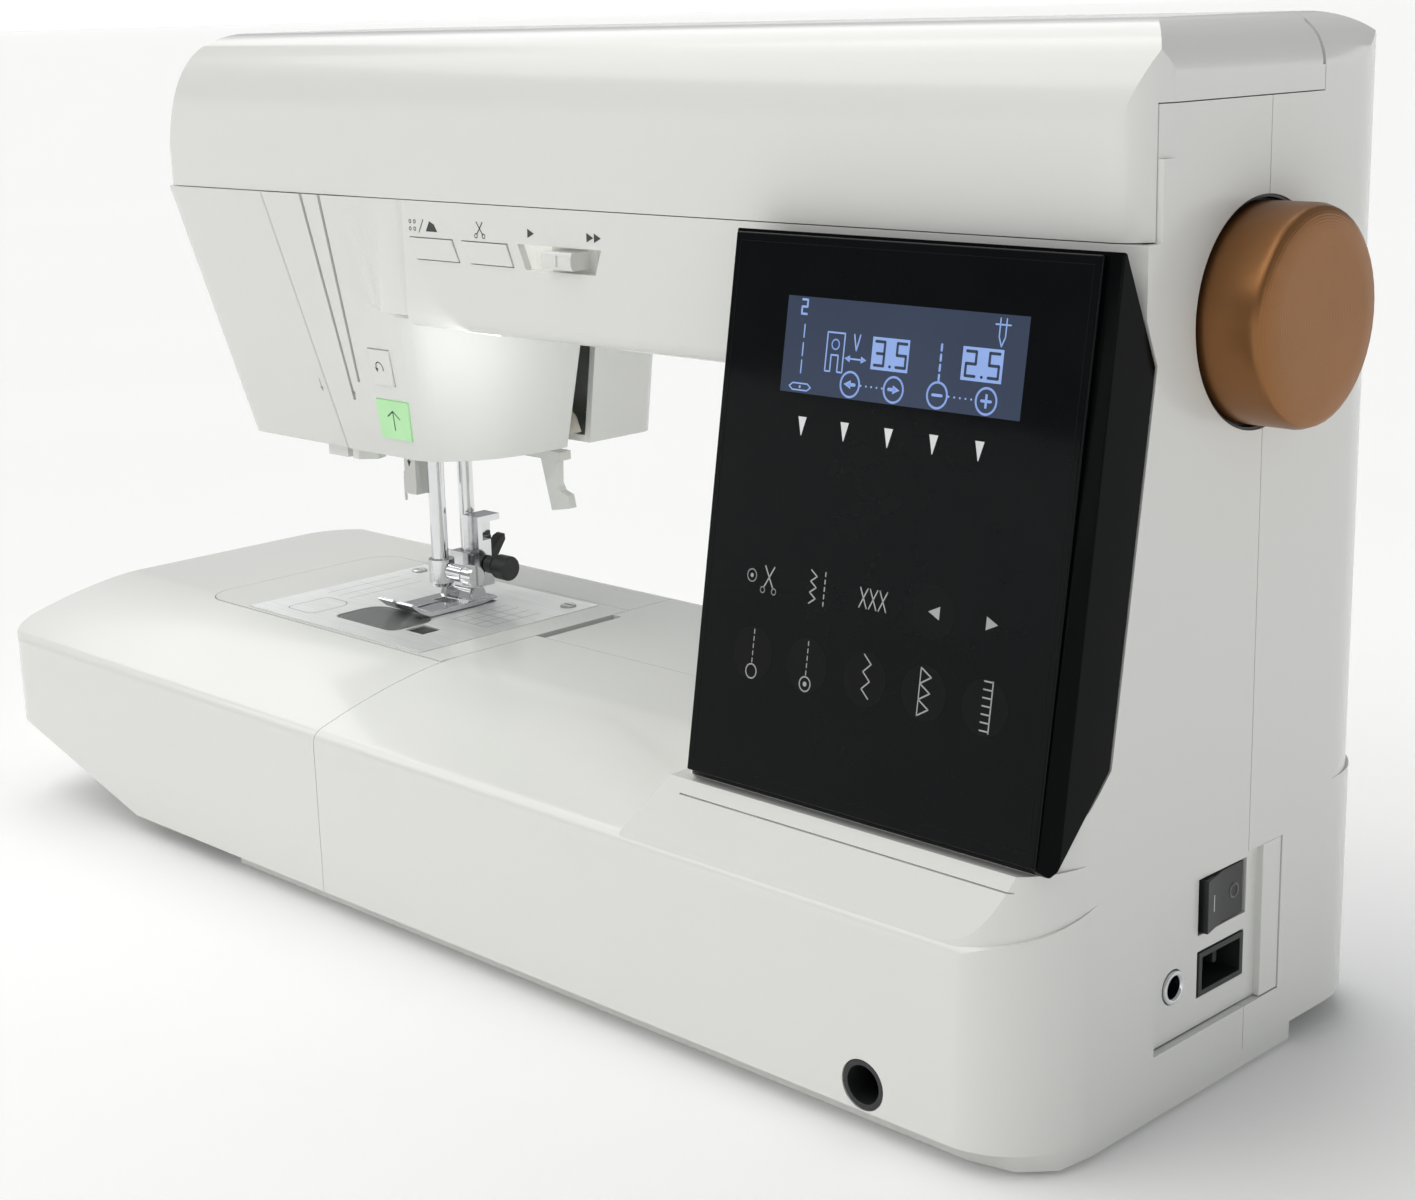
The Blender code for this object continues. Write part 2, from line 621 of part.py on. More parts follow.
def panel_housing(look):
    def solid(inset):
        slope = (PANEL_FRONT_TOP[0] - PANEL_FRONT_BOTTOM[0]) / (PANEL_FRONT_TOP[1] - PANEL_FRONT_BOTTOM[1])
        back_step = GLASS + GAP + inset
        top = (PANEL_FRONT_TOP[0] + back_step, PANEL_FRONT_TOP[1] - inset)
        low = (PANEL_FRONT_BOTTOM[0] + back_step + slope * inset, PANEL_FRONT_BOTTOM[1] + inset)
        rear = [(y + 12 * (inset > 0), z) for y, z in PANEL_BACK]
        outline = [top, low] + [(y - GAP * (inset == 0), z) for y, z in rear]
        return prism("X", outline, PANEL_LEFT + inset, RIGHT - inset)

    housing = solid(0)
    chamfer = 3.0
    for x, sign in ((PANEL_LEFT, 1), (RIGHT, -1)):
        points = []
        for (y, z), grow in ((PANEL_FRONT_TOP, 6), (PANEL_FRONT_BOTTOM, -6)):
            face = y + GLASS + GAP
            points += [(x, face - 8, z + grow), (x - 8 * sign, face - 8, z + grow)]
            points += [(x + chamfer * sign + 3 * sign, face - 3, z + grow), (x - 3 * sign, face + chamfer + 3, z + grow)]
        cut(housing, hull(points))
    cut(housing, solid(2.4))
    x0, x1, z0, z1 = LCD_BOX
    cut(housing, box(x0, x1, -75, -45, z0, z1))
    return finish(housing, "panel_housing", look)


def panel_point(z, behind):
    """A point on the panel's front at height z, moved back square to it."""
    (y1, z1), (y0, z0) = PANEL_FRONT_TOP, PANEL_FRONT_BOTTOM
    slope = (y1 - y0) / (z1 - z0)
    length = math.hypot(1, slope)
    return (y1 - slope * (z1 - z) + behind / length, z - behind * slope / length)


def panel_slab(x0, x1, z0, z1, near, far):
    points = []
    for x in (x0, x1):
        for z in (z0, z1):
            for behind in (near, far):
                points.append((x, *panel_point(z, behind)))
    return hull(points)


def panel_glass(look):
    return finish(
        panel_slab(PANEL_LEFT + 3.4, RIGHT - 3.6, PANEL_FRONT_BOTTOM[1] + 0.8, PANEL_FRONT_TOP[1] - 0.6, 0, GLASS),
        "panel_glass",
        look,
    )


def lcd_module(look):
    x0, x1, z0, z1 = LCD_BOX
    frame = panel_slab(x0 - 4, x1 + 4, z0 - 3, z1 + 3, GLASS + 2.4 + 3 * GAP, GLASS + 8)
    lens = panel_slab(x0 + 0.6, x1 - 0.6, z0 + 0.8, z1 - 0.8, GLASS + 2 * GAP, GLASS + 4)
    return finish(join(frame, lens), "lcd_module", look)


def main_board(look):
    board = box(128, 232, -28.0, -26.4, 110, 195)
    join(board, box(150, 178, -26.5, -24.0, 130, 158))
    join(board, box(190, 226, -26.5, -20.0, 118, 132))
    join(board, box(190, 206, -26.5, -18.0, 165, 190))
    return finish(board, "main_board", look)


def front_button(name, outline, look):
    button = prism("Y", outline, ARM_FRONT - 0.5, ARM_FRONT + 4.5)
    flange = prism("Y", grown(outline, 1.4), ARM_FRONT + WALL + 0.5, ARM_FRONT + 4.8)
    return pivot(finish(join(button, flange), name, look), (outline[0][0], ARM_FRONT, 224))


def lean_button(name, outline, look):
    button = on_lean(outline, 0.7, 4.6)
    join(button, on_lean(grown(outline, 0.8), -WALL - 0.8, WALL + 2.4))
    middle = sum(z for _, z in outline) / 4
    return pivot(finish(button, name, look), (-92, lean_y(middle), middle))


def speed_slider(look):
    """The knob stands in a shallow dished guide; its stem runs in the guide's slot behind."""
    knob = prism("X", [(-43.6, 226.6), (-44.4, 225.0), (-44.4, 222.6), (-43.6, 221.0), (-36, 221.0), (-36, 226.6)], 23, 37)
    join(knob, box(19.5, 40.5, ARM_FRONT + 5.0, ARM_FRONT + 7.0, 218.5, 229.0))
    return pivot(finish(knob, "speed_slider", look), (30, ARM_FRONT, 224))


# ---------------------------------------------------------------- needle area


def needle_plate(look):
    x0, x1, y0, y1 = PLATE
    plate = box(x0, x1, y0, y1, PLATE_TOP - PLATE_THICK, PLATE_TOP)
    cx0, cx1, cy0, cy1 = COVER
    cut(plate, prism("Z", rounded(cx0 - GAP, cx1 + GAP, cy0 - GAP, cy1 + GAP, (4, 4, 8, 8), 4), 70, 90))
    cut(plate, box(RELEASE[0] - GAP, RELEASE[1] + GAP, RELEASE[2] - GAP, RELEASE[3] + GAP, 70, 90))
    for x in FEED_ROWS:
        cut(plate, box(x - 1.7, x + 1.7, NEEDLE[1] - 10, NEEDLE[1] + 17, 70, 90))
    cut(plate, prism("Z", rounded(NEEDLE[0] - 4.5, NEEDLE[0] + 4.5, NEEDLE[1] - 1.0, NEEDLE[1] + 1.0, (1, 1, 1, 1), 3), 70, 90))
    return finish(plate, "needle_plate", look)


COVER = (-137.0, -100.5, -18.0, 4.0)  # clear bobbin cover, x low, x high, y low, y high
RELEASE = (-98.5, -88.5, -13.2, -4.6)  # release slide for the cover
FEED_ROWS = (-123.6, -106.8)


def bobbin_cover(look):
    x0, x1, y0, y1 = COVER
    cover = prism("Z", rounded(x0, x1, y0, y1, (3.7, 3.7, 7.7, 7.7), 4), PLATE_TOP - 1.5, PLATE_TOP)
    return finish(cover, "bobbin_cover", look)


def cover_release(look):
    x0, x1, y0, y1 = RELEASE
    slide = box(x0, x1 - 2, y0, y1, PLATE_TOP - 4.2, PLATE_TOP - 0.6)
    join(slide, box(x0 - 1, x1 + 3, y0 - 1.5, y1 + 1.5, PLATE_TOP - 5.5, PLATE_TOP - 3.5))
    return finish(slide, "cover_release", look)


def feed_dog(look):
    carrier = box(-127, -103.4, 14.5, 38, 66.8, 70)
    for x in FEED_ROWS:
        join(carrier, box(x - 1.2, x + 1.2, NEEDLE[1] - 7, NEEDLE[1] + 14, 69, PLATE_TOP - 1.0))
        for k in range(9):
            y = NEEDLE[1] - 6.5 + 2.3 * k
            tooth = [(y, PLATE_TOP - 1.4), (y + 2.0, PLATE_TOP - 1.4), (y + 1.7, PLATE_TOP - 0.4)]
            join(carrier, prism("X", tooth, x - 1.0, x + 1.0))
    cut(carrier, prism("Z", rounded(NEEDLE[0] - 5, NEEDLE[0] + 5, NEEDLE[1] - 4, NEEDLE[1] + 4, (2, 2, 2, 2), 3), 60, 80))
    return pivot(finish(carrier, "feed_dog", look), (NEEDLE[0], NEEDLE[1], 70))


def hook_race(look):
    """The spinning cup; its short shaft carries the driven gear."""
    profile = [(0, 38), (6, 38), (6, 44), (4, 44), (4, 50), (HOOK_R - 3, 50), (HOOK_R, 53), (HOOK_R, 62)]
    profile += [(HOOK_R - 1.6, 62), (HOOK_R - 1.6, 54), (HOOK_R - 4, 52), (0, 52)]
    race = turned("Z", HOOK, profile, 32)
    cut(race, box(HOOK[0] + 6, HOOK[0] + 25, HOOK[1] - 4, HOOK[1] + 4, 56.5, 66))
    return pivot(finish(race, "hook_race", look, True), (*HOOK, 50))


def bobbin_case(look):
    rim = HOOK_R - 2.2
    profile = [(0, 52.6), (rim - 2.3, 52.6), (rim, 55), (rim, 63), (14.2, 63), (14.2, 66), (12.6, 66)]
    profile += [(12.6, 62), (rim - 1.6, 62), (rim - 1.6, 56), (rim - 3.3, 54.4), (0, 54.4)]
    case = turned("Z", HOOK, profile, 32)
    join(case, box(HOOK[0] - 28, HOOK[0] - 13.2, HOOK[1] - 5, HOOK[1] + 5, 64, 66))
    return finish(case, "bobbin_case", look, True)


def bobbin(look):
    profile = [(3, 55), (10.2, 55), (10.2, 56), (4.2, 56), (4.2, 65), (10.2, 65), (10.2, 66), (3, 66)]
    return pivot(finish(turned("Z", HOOK, profile, 28, ring=True), "bobbin", look, True), (*HOOK, 60))


def needle_bar(look):
    profile = [(0, 90), (BAR_R, 90), (BAR_R, 202.4), (BAR_R - 0.6, 203), (0, 203)]
    bar = turned("Z", BAR, profile, 20)
    collar = turned("Z", (BAR[0] + 0.2, BAR[1] + 0.3), [(0, 85.4), (3.6, 85.4), (5.0, 87), (5.0, 96), (0, 96)], 20)
    join(bar, collar)
    cut(bar, cylinder("Z", NEEDLE, 1.3, 80, 98, 12))
    cut(bar, cylinder("X", (NEEDLE[1] - 0.4, 91.5), 1.9, BAR[0] + 2.6, BAR[0] + 12, 14))
    return finish(bar, "needle_bar", look, True)


def clamp_screw(look):
    centre = (NEEDLE[1] - 0.4, 91.5)
    x = BAR[0] + 2.9
    profile = [(0, x), (1.5, x), (1.5, x + 3.0), (3.3, x + 3.0), (3.3, x + 11), (2.0, x + 11.4), (2.0, x + 13)]
    profile += [(4.4, x + 13.2), (4.4, x + 17.4), (3.8, x + 18), (0, x + 18)]
    screw = turned("X", centre, profile, 20)
    cut(screw, box(x + 16.6, x + 20, centre[0] - 0.6, centre[0] + 0.6, 80, 100))
    return pivot(finish(screw, "clamp_screw", look, True), (x, *centre))


def needle(look):
    low = 64.0
    profile = [(0, low), (0.35, low + 2.5), (0.42, 84.2), (1.0, 86.0), (1.0, 96.0), (0, 96.6)]
    body_ = turned("Z", NEEDLE, profile, 12)
    return finish(body_, "needle", look, True)


def presser_bar(look):
    profile = [(0, 88.5), (PRESSER_R - 0.4, 88.5), (PRESSER_R, 89), (PRESSER_R, 224), (0, 224.6)]
    bar = turned("Z", PRESSER, profile, 20)
    join(bar, box(PRESSER[0] - 5, PRESSER[0] + 5.5, PRESSER[1] - 5, PRESSER[1] + 9, 166, 175))
    return finish(bar, "presser_bar", look, True)


def foot_ankle(look):
    px, py = PRESSER
    ankle = box(px + PRESSER_R + GAP, px + 12.2, py - 5.0, py + 6.0, 90.2, 112.0)
    join(ankle, box(px - 4.8, px + 8.0, py - 5.5, py + 5.5, 83.4, 97.0))
    cut(ankle, cylinder("Z", PRESSER, PRESSER_R + GAP, 88.2, 120, 20))
    cut(ankle, box(px + 6.2, px + 14, py - 2.8, py + 6.5, 102.6, 109.6))
    cut(ankle, cylinder("X", (py - 0.5, 93.0), 1.8, px + 2, px + 14, 14))
    cut(ankle, box(px + 6.6, px + 13, py + 1.2, py + 6.5, 94.0, 104.0))
    return finish(ankle, "foot_ankle", look)


def ankle_screw(look):
    px, py = PRESSER
    centre = (py - 0.5, 93.0)
    x = px + PRESSER_R + 2 * GAP
    profile = [(0, x), (1.5, x), (1.5, px + 12.6), (3.4, px + 12.6), (3.4, px + 16.5), (2.4, px + 16.9)]
    profile += [(2.4, px + 18.6), (4.8, px + 18.8), (4.8, px + 24.8), (4.0, px + 25.6), (0, px + 25.6)]
    return pivot(finish(turned("X", centre, profile, 20), "ankle_screw", look, True), (x, *centre))


FOOT_PIN = (28.5, 82.0)  # y and z of the pin that the foot rocks on


def foot_sole(look):
    """Two toes curled up at the front, a slot for the needle and ears for the rocking pin."""
    y, z = FOOT_PIN
    low = PLATE_TOP + GAP
    side = [(y + 8, low + 1.1), (y + 8, low + 2.0), (y + 3, low + 2.0), (y - 24, low + 1.8), (y - 29, low + 3.6)]
    side += [(y - 33, low + 6.6), (y - 34, low + 5.8), (y - 29.8, low + 2.2), (y - 25, low), (y, low)]
    cx = NEEDLE[0]
    sole = prism("X", side, cx - 10.5, cx + 10.5)
    cut(sole, box(cx - 4.6, cx + 4.6, NEEDLE[1] - 3.0, NEEDLE[1] + 3.0, 70, 90))
    cut(sole, box(cx - 1.2, cx + 1.2, y - 40, NEEDLE[1] + 1.0, 70, 90))
    for a, b in ((cx - 9.5, cx - 7.3), (cx + 7.3, cx + 9.5)):
        ear = prism("X", [(y - 4.5, low + 1.2), (y + 4.5, low + 1.2), (y + 2.2, z + 2.2), (y - 2.2, z + 2.2)], a, b)
        join(sole, ear)
    join(sole, cylinder("X", FOOT_PIN, 1.0, cx - 8, cx + 8, 12))
    return pivot(finish(sole, "foot_sole", look), (cx, y, z))


def foot_release(look):
    px, py = PRESSER
    x0, x1 = px + 7.0, px + 11.6
    pad = [(py + 1.7, 94.4), (py + 1.7, 97.5), (py + 6.5, 102.5), (py + 8.8, 103.4), (py + 9.0, 101.0), (py + 4.4, 94.4)]
    return pivot(finish(prism("X", pad, x0, x1), "foot_release", look), (x0, py + 2.6, 96.0))


LIFTER_PIVOT = (-104.0, 165.0)  # x and z, the axis runs along Y


def presser_lever(look):
    px, pz = LIFTER_PIVOT
    y0, y1 = SIDE_SLOT[0] + 2.2, SIDE_SLOT[1] - 3.0
    outline = [(px - 4, pz - 3), (px - 3, pz + 4), (px + 4, pz + 5), (-75, 158.5), (-67.5, 152.2), (-65, 146.5)]
    outline += [(-69.5, 146.0), (-74, 150.0), (-80, 152), (px + 3, pz - 5)]
    lever = prism("Y", outline, y0, y1)
    join(lever, cylinder("Y", LIFTER_PIVOT, 5.2, y0, y1, 20))
    cut(lever, cylinder("Y", LIFTER_PIVOT, 2.3, y0 - 2, y1 + 2, 16))
    return pivot(finish(lever, "presser_lever", look), (px, y0, pz))


def needle_threader(look):
    """White carriage left of the needle bar with a fine hooked blade."""
    x, y = BAR[0] - 9.9, BAR[1] - 3.0
    body_ = box(x - 2.2, x + 4.6, y - 2.5, y + 3.5, 121, 152)
    join(body_, turned("Z", (x, y + 1), [(0, 150), (2.0, 150), (2.0, 214), (0, 214)], 14))
    join(body_, box(x - 5.4, x - 1.8, y - 0.5, y + 0.3, 124.5, 129))
    join(body_, box(x - 5.6, x - 4.8, y - 0.5, y + 0.3, 117.5, 127))
    return finish(body_, "needle_threader", look)


def buttonhole_lever(look):
    """Flat bracket under the head with a thumb tab that is pulled down for buttonholes."""
    bracket = box(-117, -71.5, 42.4, 48.2, 135.4, 138.8)
    join(bracket, box(-116, -112.6, 43.4, 47.2, 138, 196))
    tab = [(-84.0, 136.5), (-74.4, 136.5), (-74.8, 126.5), (-73.2, 123.6), (-69.2, 122.4), (-68.0, 117.6)]
    tab += [(-78.4, 115.6), (-80.6, 124.0)]
    join(bracket, prism("Y", tab, 43.6, 47.0))
    return finish(bracket, "buttonhole_lever", look)


def thread_cutter(look):
    cutter = prism("Z", [(-146, -8.5), (-127, -8.5), (-121.5, -3.5), (-123.5, 1.5), (-146, 1.5)], 137.6, 141.7)
    cut(cutter, box(-134, -131, -12, -4, 130, 145))
    return finish(cutter, "thread_cutter", look)


TAKE_UP = (-8.0, 216.0)  # y and z of the take-up lever's axis


def take_up_lever(look):
    y, z = TAKE_UP
    arm_ = hull([(x, y - 2 - dy, z + dz) for x in (-93.2, -91.2) for dy, dz in ((0, 3), (0, -3), (15, -9.5), (14, -12.5))])
    join(arm_, cylinder("X", TAKE_UP, 4.6, -94, -90.4, 20))
    cut(arm_, cylinder("X", (y - 14.6, z - 9.2), 0.9, -96, -88, 10))
    cut(arm_, cylinder("X", TAKE_UP, 2.2, -96, -88, 14))
    return pivot(finish(arm_, "take_up_lever", look), (-92, y, z))


def tension_unit(look):
    centre = (-6.0, 221.0)
    profile = [(0, -156), (4, -156), (4, -149), (10.5, -149), (11, -148.4), (7, -146.6), (11, -144.8), (10.5, -144.2)]
    profile += [(6.5, -144.2), (6.5, -136), (0, -136)]
    return finish(turned("X", centre, profile, 24), "tension_unit", look, True)


# ---------------------------------------------------------------- drive


def main_shaft(look):
    profile = [(0, -104), (10, -104), (10, -99), (SHAFT_R, -99), (SHAFT_R, 189), (DRIVE_PULLEY_R, 189)]
    profile += [(DRIVE_PULLEY_R, 197), (SHAFT_R, 197), (SHAFT_R, 203), (PULLEY_R, 203), (PULLEY_R, 210)]
    profile += [(SHAFT_R, 210), (SHAFT_R, 255), (0, 255)]
    return pivot(finish(turned("X", SHAFT, profile, 24), "main_shaft", look, True), (0, *SHAFT))


def handwheel(look):
    bore = SHAFT_R + GAP
    profile = [(0, WHEEL_FACE), (WHEEL_R - 9, WHEEL_FACE - 0.2), (WHEEL_R - 2.8, 264.0), (WHEEL_R - 0.8, 262.9)]
    profile += [(WHEEL_R, 260.6), (WHEEL_R, 244), (WHEEL_R - 0.8, 243.2), (bore, 243.2), (bore, 255.6), (0, 255.6)]
    return pivot(finish(turned("X", SHAFT, profile, 48), "handwheel", look, True), (245, *SHAFT))


def lower_shaft(look):
    profile = [(0, -100), (5, -100), (9, -94), (9, -90), (SHAFT_R, -90), (SHAFT_R, 203), (PULLEY_R, 203)]
    profile += [(PULLEY_R, 210), (SHAFT_R, 210), (SHAFT_R, 216), (0, 216)]
    return pivot(finish(turned("X", LOWER, profile, 24), "lower_shaft", look, True), (0, *LOWER))


def motor(look):
    profile = [(0, 122), (18, 122), (20, 124), (20, 174), (18, 176), (8, 176), (8, 178), (0, 178)]
    case = turned("X", MOTOR, profile, 28)
    return finish(case, "motor", look, True)


def motor_pulley(look):
    start = 178 + GAP
    profile = [(0, start), (2.5, start), (2.5, 189), (MOTOR_PULLEY_R, 189), (MOTOR_PULLEY_R, 197), (0, 197)]
    return pivot(finish(turned("X", MOTOR, profile, 20), "motor_pulley", look, True), (190, *MOTOR))


def cast_frame(look):
    """Cast arm, post and base with bearing bosses for both shafts and guides for both bars."""
    frame = box(-60, 236, -20, 52, 16, 21)
    join(frame, box(-195, -55, -24, 52, 16, 21))
    join(frame, box(142, 176, -14, 26, 20, 206))
    join(frame, box(-150, 176, -24, 60, 203.2, 208))
    join(frame, box(160, 176, -3, 25, 204, 229))
    join(frame, box(-74, -62, -12, 25, 204, 229))
    join(frame, box(-121.5, -110.5, 12, 39, 186, 204))
    join(frame, cylinder("X", TAKE_UP, 2.0, -95.5, -70, 16))
    join(frame, box(-74, -62, 2, 20, 20, 47))
    join(frame, box(-130, -97, 52, 58, 150, 206))
    join(frame, box(-128, -105, 10, 54, 150, 155))
    join(frame, cylinder("Y", LIFTER_PIVOT, 2.0, 42.4, 53, 16))
    cut(frame, cylinder("X", SHAFT, SHAFT_R + GAP, -100, 190, 24))
    cut(frame, cylinder("X", LOWER, SHAFT_R + GAP, -100, 190, 24))
    cut(frame, cylinder("Z", BAR, BAR_R + GAP, 140, 215, 20))
    cut(frame, cylinder("Z", PRESSER, PRESSER_R + GAP, 140, 215, 20))
    cut(frame, box(-106, -88, -30, 30, 190, 210))
    cut(frame, box(-117.2, -111.4, 41.5, 50.0, 140, 210))
    cut(frame, box(BAR[0] - 13.5, BAR[0] - 4.2, 8, 22.2, 140, 210))
    return finish(frame, "cast_frame", look)


def led_lamp(look):
    return finish(box(-36, -8, -28, -18, ARM_BOTTOM - 2.2, ARM_BOTTOM - GAP), "led_lamp", look)


def spool_pin(look):
    holder = box(66, 74, -16, 6, 239.2, 262)
    join(holder, turned("X", (-5, 254), [(0, -20), (2.2, -20), (2.8, -18), (2.8, 60), (9, 60), (9, 63), (4, 70), (0, 70)], 20))
    return finish(holder, "spool_pin", look)


def winder_spindle(look):
    profile = [(0, 239.2), (7, 239.2), (7, 243), (3, 244), (2.8, 262), (2.2, 263.5), (0, 263.5)]
    return pivot(finish(turned("Z", (160, 8), profile, 20), "winder_spindle", look, True), (160, 8, 240))


# ---------------------------------------------------------------- sockets


def socket_panel(look):
    """Recessed plate with a cup for the rocker, the mains inlet's window and the jack's hole."""
    y0, y1, z0, z1 = SOCKET_PANEL
    face = RIGHT - 2.4
    plate = box(face - 2, face, y0 + GAP, y1 - GAP, z0 + GAP, z1 - GAP)
    join(plate, box(face - 0.5, RIGHT - 0.3, 21.3, y1 - GAP, z0 + GAP, z1 - GAP))
    cut(plate, box(face - 5, face + 5, *ROCKER_HOLE))
    cut(plate, box(face - 5, face + 5, *INLET_BOX))
    cut(plate, cylinder("X", JACK, 4.8 + GAP, face - 5, face + 5, 20))
    return finish(plate, "socket_panel", look)


ROCKER_AXIS_X = 240.0
ROCKER_HOLE = (-7.6, 16.2, 47.2, 63.6)
INLET_BOX = (-7.6, 15.3, 28.6, 42.3)
JACK = (-19.4, 35.9)


def rocker_switch(look):
    y0, y1, z0, z1 = ROCKER_HOLE
    middle = (y0 + y1) / 2
    pad = [(232, y0 + 3), (243.6, y0 + 1.4), (246.2, y0 + 1.4), (243.9, middle), (243.7, y1 - 1.4), (238, y1 - 2.4)]
    pad += [(232, y1 - 4)]
    rocker = prism("Z", pad, z0 + 0.5, z1 - 0.5)
    return pivot(finish(rocker, "rocker_switch", look), (ROCKER_AXIS_X, middle, (z0 + z1) / 2))


def power_inlet(look):
    y0, y1, z0, z1 = INLET_BOX
    face = RIGHT - 2.0
    inlet = box(222, face, y0 + GAP, y1 - GAP, z0 + GAP, z1 - GAP)
    cut(inlet, prism("X", [(y0 + 2, z0 + 2), (y1 - 2, z0 + 2), (y1 - 2, z1 - 2), (y0 + 2, z1 - 2)], 228, 260))
    for y in (0.4, 7.4):
        join(inlet, box(226, 240, y - 1.0, y + 1.0, 33.6, 37.4))
    return finish(inlet, "power_inlet", look)


def pedal_jack(look):
    face = RIGHT - 1.6
    profile = [(3.2, 226), (4.8, 226), (4.8, face), (3.7, face), (3.2, face - 0.6)]
    return finish(turned("X", JACK, profile, 24, ring=True), "pedal_jack", look, True)


def knee_socket(look):
    mouth = FRONT + 0.2
    profile = [(0, -63), (KNEE_R, -63), (KNEE_R, mouth), (KNEE_R - 1.6, mouth), (KNEE_R - 1.6, -66), (0, -66)]
    return finish(turned("Y", KNEE, profile, 24), "knee_socket", look, True)


# ---------------------------------------------------------------- assembly


def build():
    clear_scene()
    white = material("white_plastic", (0.86, 0.87, 0.85), 0.0, 0.28)
    deck = material("deck_plastic", (0.72, 0.73, 0.72), 0.0, 0.45)
    black = material("black_gloss", (0.015, 0.016, 0.017), 0.0, 0.1)
    smoke = material("smoked_glass", (0.02, 0.02, 0.025), 0.0, 0.05, 0.6)
    screen = material("lcd", (0.08, 0.11, 0.2), 0.0, 0.2)
    copper = material("copper", (0.62, 0.33, 0.18), 0.9, 0.3)
    chrome = material("chrome", (0.8, 0.81, 0.82), 1.0, 0.12)
    steel = material("brushed_steel", (0.6, 0.61, 0.6), 1.0, 0.32)
    cast = material("cast_aluminium", (0.5, 0.51, 0.52), 0.9, 0.5)
    rubber = material("rubber", (0.03, 0.03, 0.03), 0.0, 0.8)
    dark = material("black_plastic", (0.03, 0.03, 0.032), 0.0, 0.45)
    clear = material("clear_plastic", (0.85, 0.87, 0.87), 0.0, 0.08, 0.35)
    green = material("lit_green", (0.45, 0.9, 0.5), 0.0, 0.4)
    beige = material("beige_plastic", (0.78, 0.76, 0.68), 0.0, 0.4)
    board = material("circuit_board", (0.02, 0.2, 0.08), 0.0, 0.5)
    lamp = material("lamp", (0.95, 0.95, 0.9), 0.0, 0.3)

    base_tray(white)
    for name, where in zip(("front_left", "front_right", "rear_left", "rear_right"), FEET):
        rubber_foot("foot_" + name, where, rubber)
    front_shell(white)
    rear_shell(white)
    face_cover(white)
    head_cover(white)
    free_arm(white)
    extension_table(white)
    top_lid(white)
    top_deck(deck)
    carry_handle(white)
    needle_plate(steel)
    bobbin_cover(clear)
    cover_release(dark)
    feed_dog(steel)
    hook_race(steel)
    bobbin_case(dark)
    bobbin(clear)
    needle_bar(chrome)
    clamp_screw(chrome)
    needle(chrome)
    presser_bar(chrome)
    foot_ankle(chrome)
    ankle_screw(dark)
    foot_sole(chrome)
    foot_release(dark)
    presser_lever(beige)
    needle_threader(white)
    buttonhole_lever(white)
    thread_cutter(white)
    take_up_lever(chrome)
    tension_unit(chrome)
    main_shaft(steel)
    handwheel(copper)
    lower_shaft(steel)
    finish(belt(203.5, 209.5, SHAFT, PULLEY_R, LOWER, PULLEY_R), "timing_belt", rubber)
    motor(dark)
    motor_pulley(steel)
    finish(belt(190, 196, SHAFT, DRIVE_PULLEY_R, MOTOR, MOTOR_PULLEY_R), "motor_belt", rubber)
    cast_frame(cast)
    led_lamp(lamp)
    spool_pin(deck)
    winder_spindle(deck)
    panel_housing(black)
    panel_glass(smoke)
    lcd_module(screen)
    main_board(board)
    lean_button("start_stop_button", START_STOP, green)
    lean_button("reverse_button", REVERSE, white)
    front_button("needle_button", NEEDLE_BUTTON, white)
    front_button("cutter_button", CUTTER_BUTTON, white)
    speed_slider(white)
    rocker_switch(dark)
    socket_panel(white)
    power_inlet(dark)
    pedal_jack(chrome)
    knee_socket(white)


build()
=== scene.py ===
"""Looks of the sewing machine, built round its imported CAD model.

Frame: +X runs along the arm to the handwheel, -Y is the user's side, +Z is up. Sizes below are in
millimetres. The main ones are read from the CAD pieces; those that belong only to a cover or a mark
are written where they are used. Every piece rides on the CAD body it belongs to.
"""

import math

import bmesh
import bpy
from mathutils import Matrix, Vector


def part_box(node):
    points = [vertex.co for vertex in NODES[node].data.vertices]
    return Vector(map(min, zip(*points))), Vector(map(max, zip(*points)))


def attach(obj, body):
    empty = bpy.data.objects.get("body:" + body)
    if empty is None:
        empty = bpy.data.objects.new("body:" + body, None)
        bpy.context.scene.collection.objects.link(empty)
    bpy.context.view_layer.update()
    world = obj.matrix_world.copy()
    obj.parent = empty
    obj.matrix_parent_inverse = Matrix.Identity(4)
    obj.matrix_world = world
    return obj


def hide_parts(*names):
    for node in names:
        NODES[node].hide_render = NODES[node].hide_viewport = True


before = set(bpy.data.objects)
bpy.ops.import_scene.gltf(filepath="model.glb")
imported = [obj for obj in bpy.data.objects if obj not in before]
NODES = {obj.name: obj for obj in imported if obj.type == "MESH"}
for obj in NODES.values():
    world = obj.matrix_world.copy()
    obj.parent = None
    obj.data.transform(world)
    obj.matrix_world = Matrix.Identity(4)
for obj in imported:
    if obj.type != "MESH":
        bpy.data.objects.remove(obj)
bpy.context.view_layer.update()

MM = 0.001
GAP = 0.3  # clearance between pieces
WALL = 2.6  # thickness of the moulded covers


def edges(node):
    """x low, x high, y low, y high, z low, z high of a CAD node."""
    low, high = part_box(node)
    return [round(v / MM, 2) for pair in zip(low, high) for v in pair]


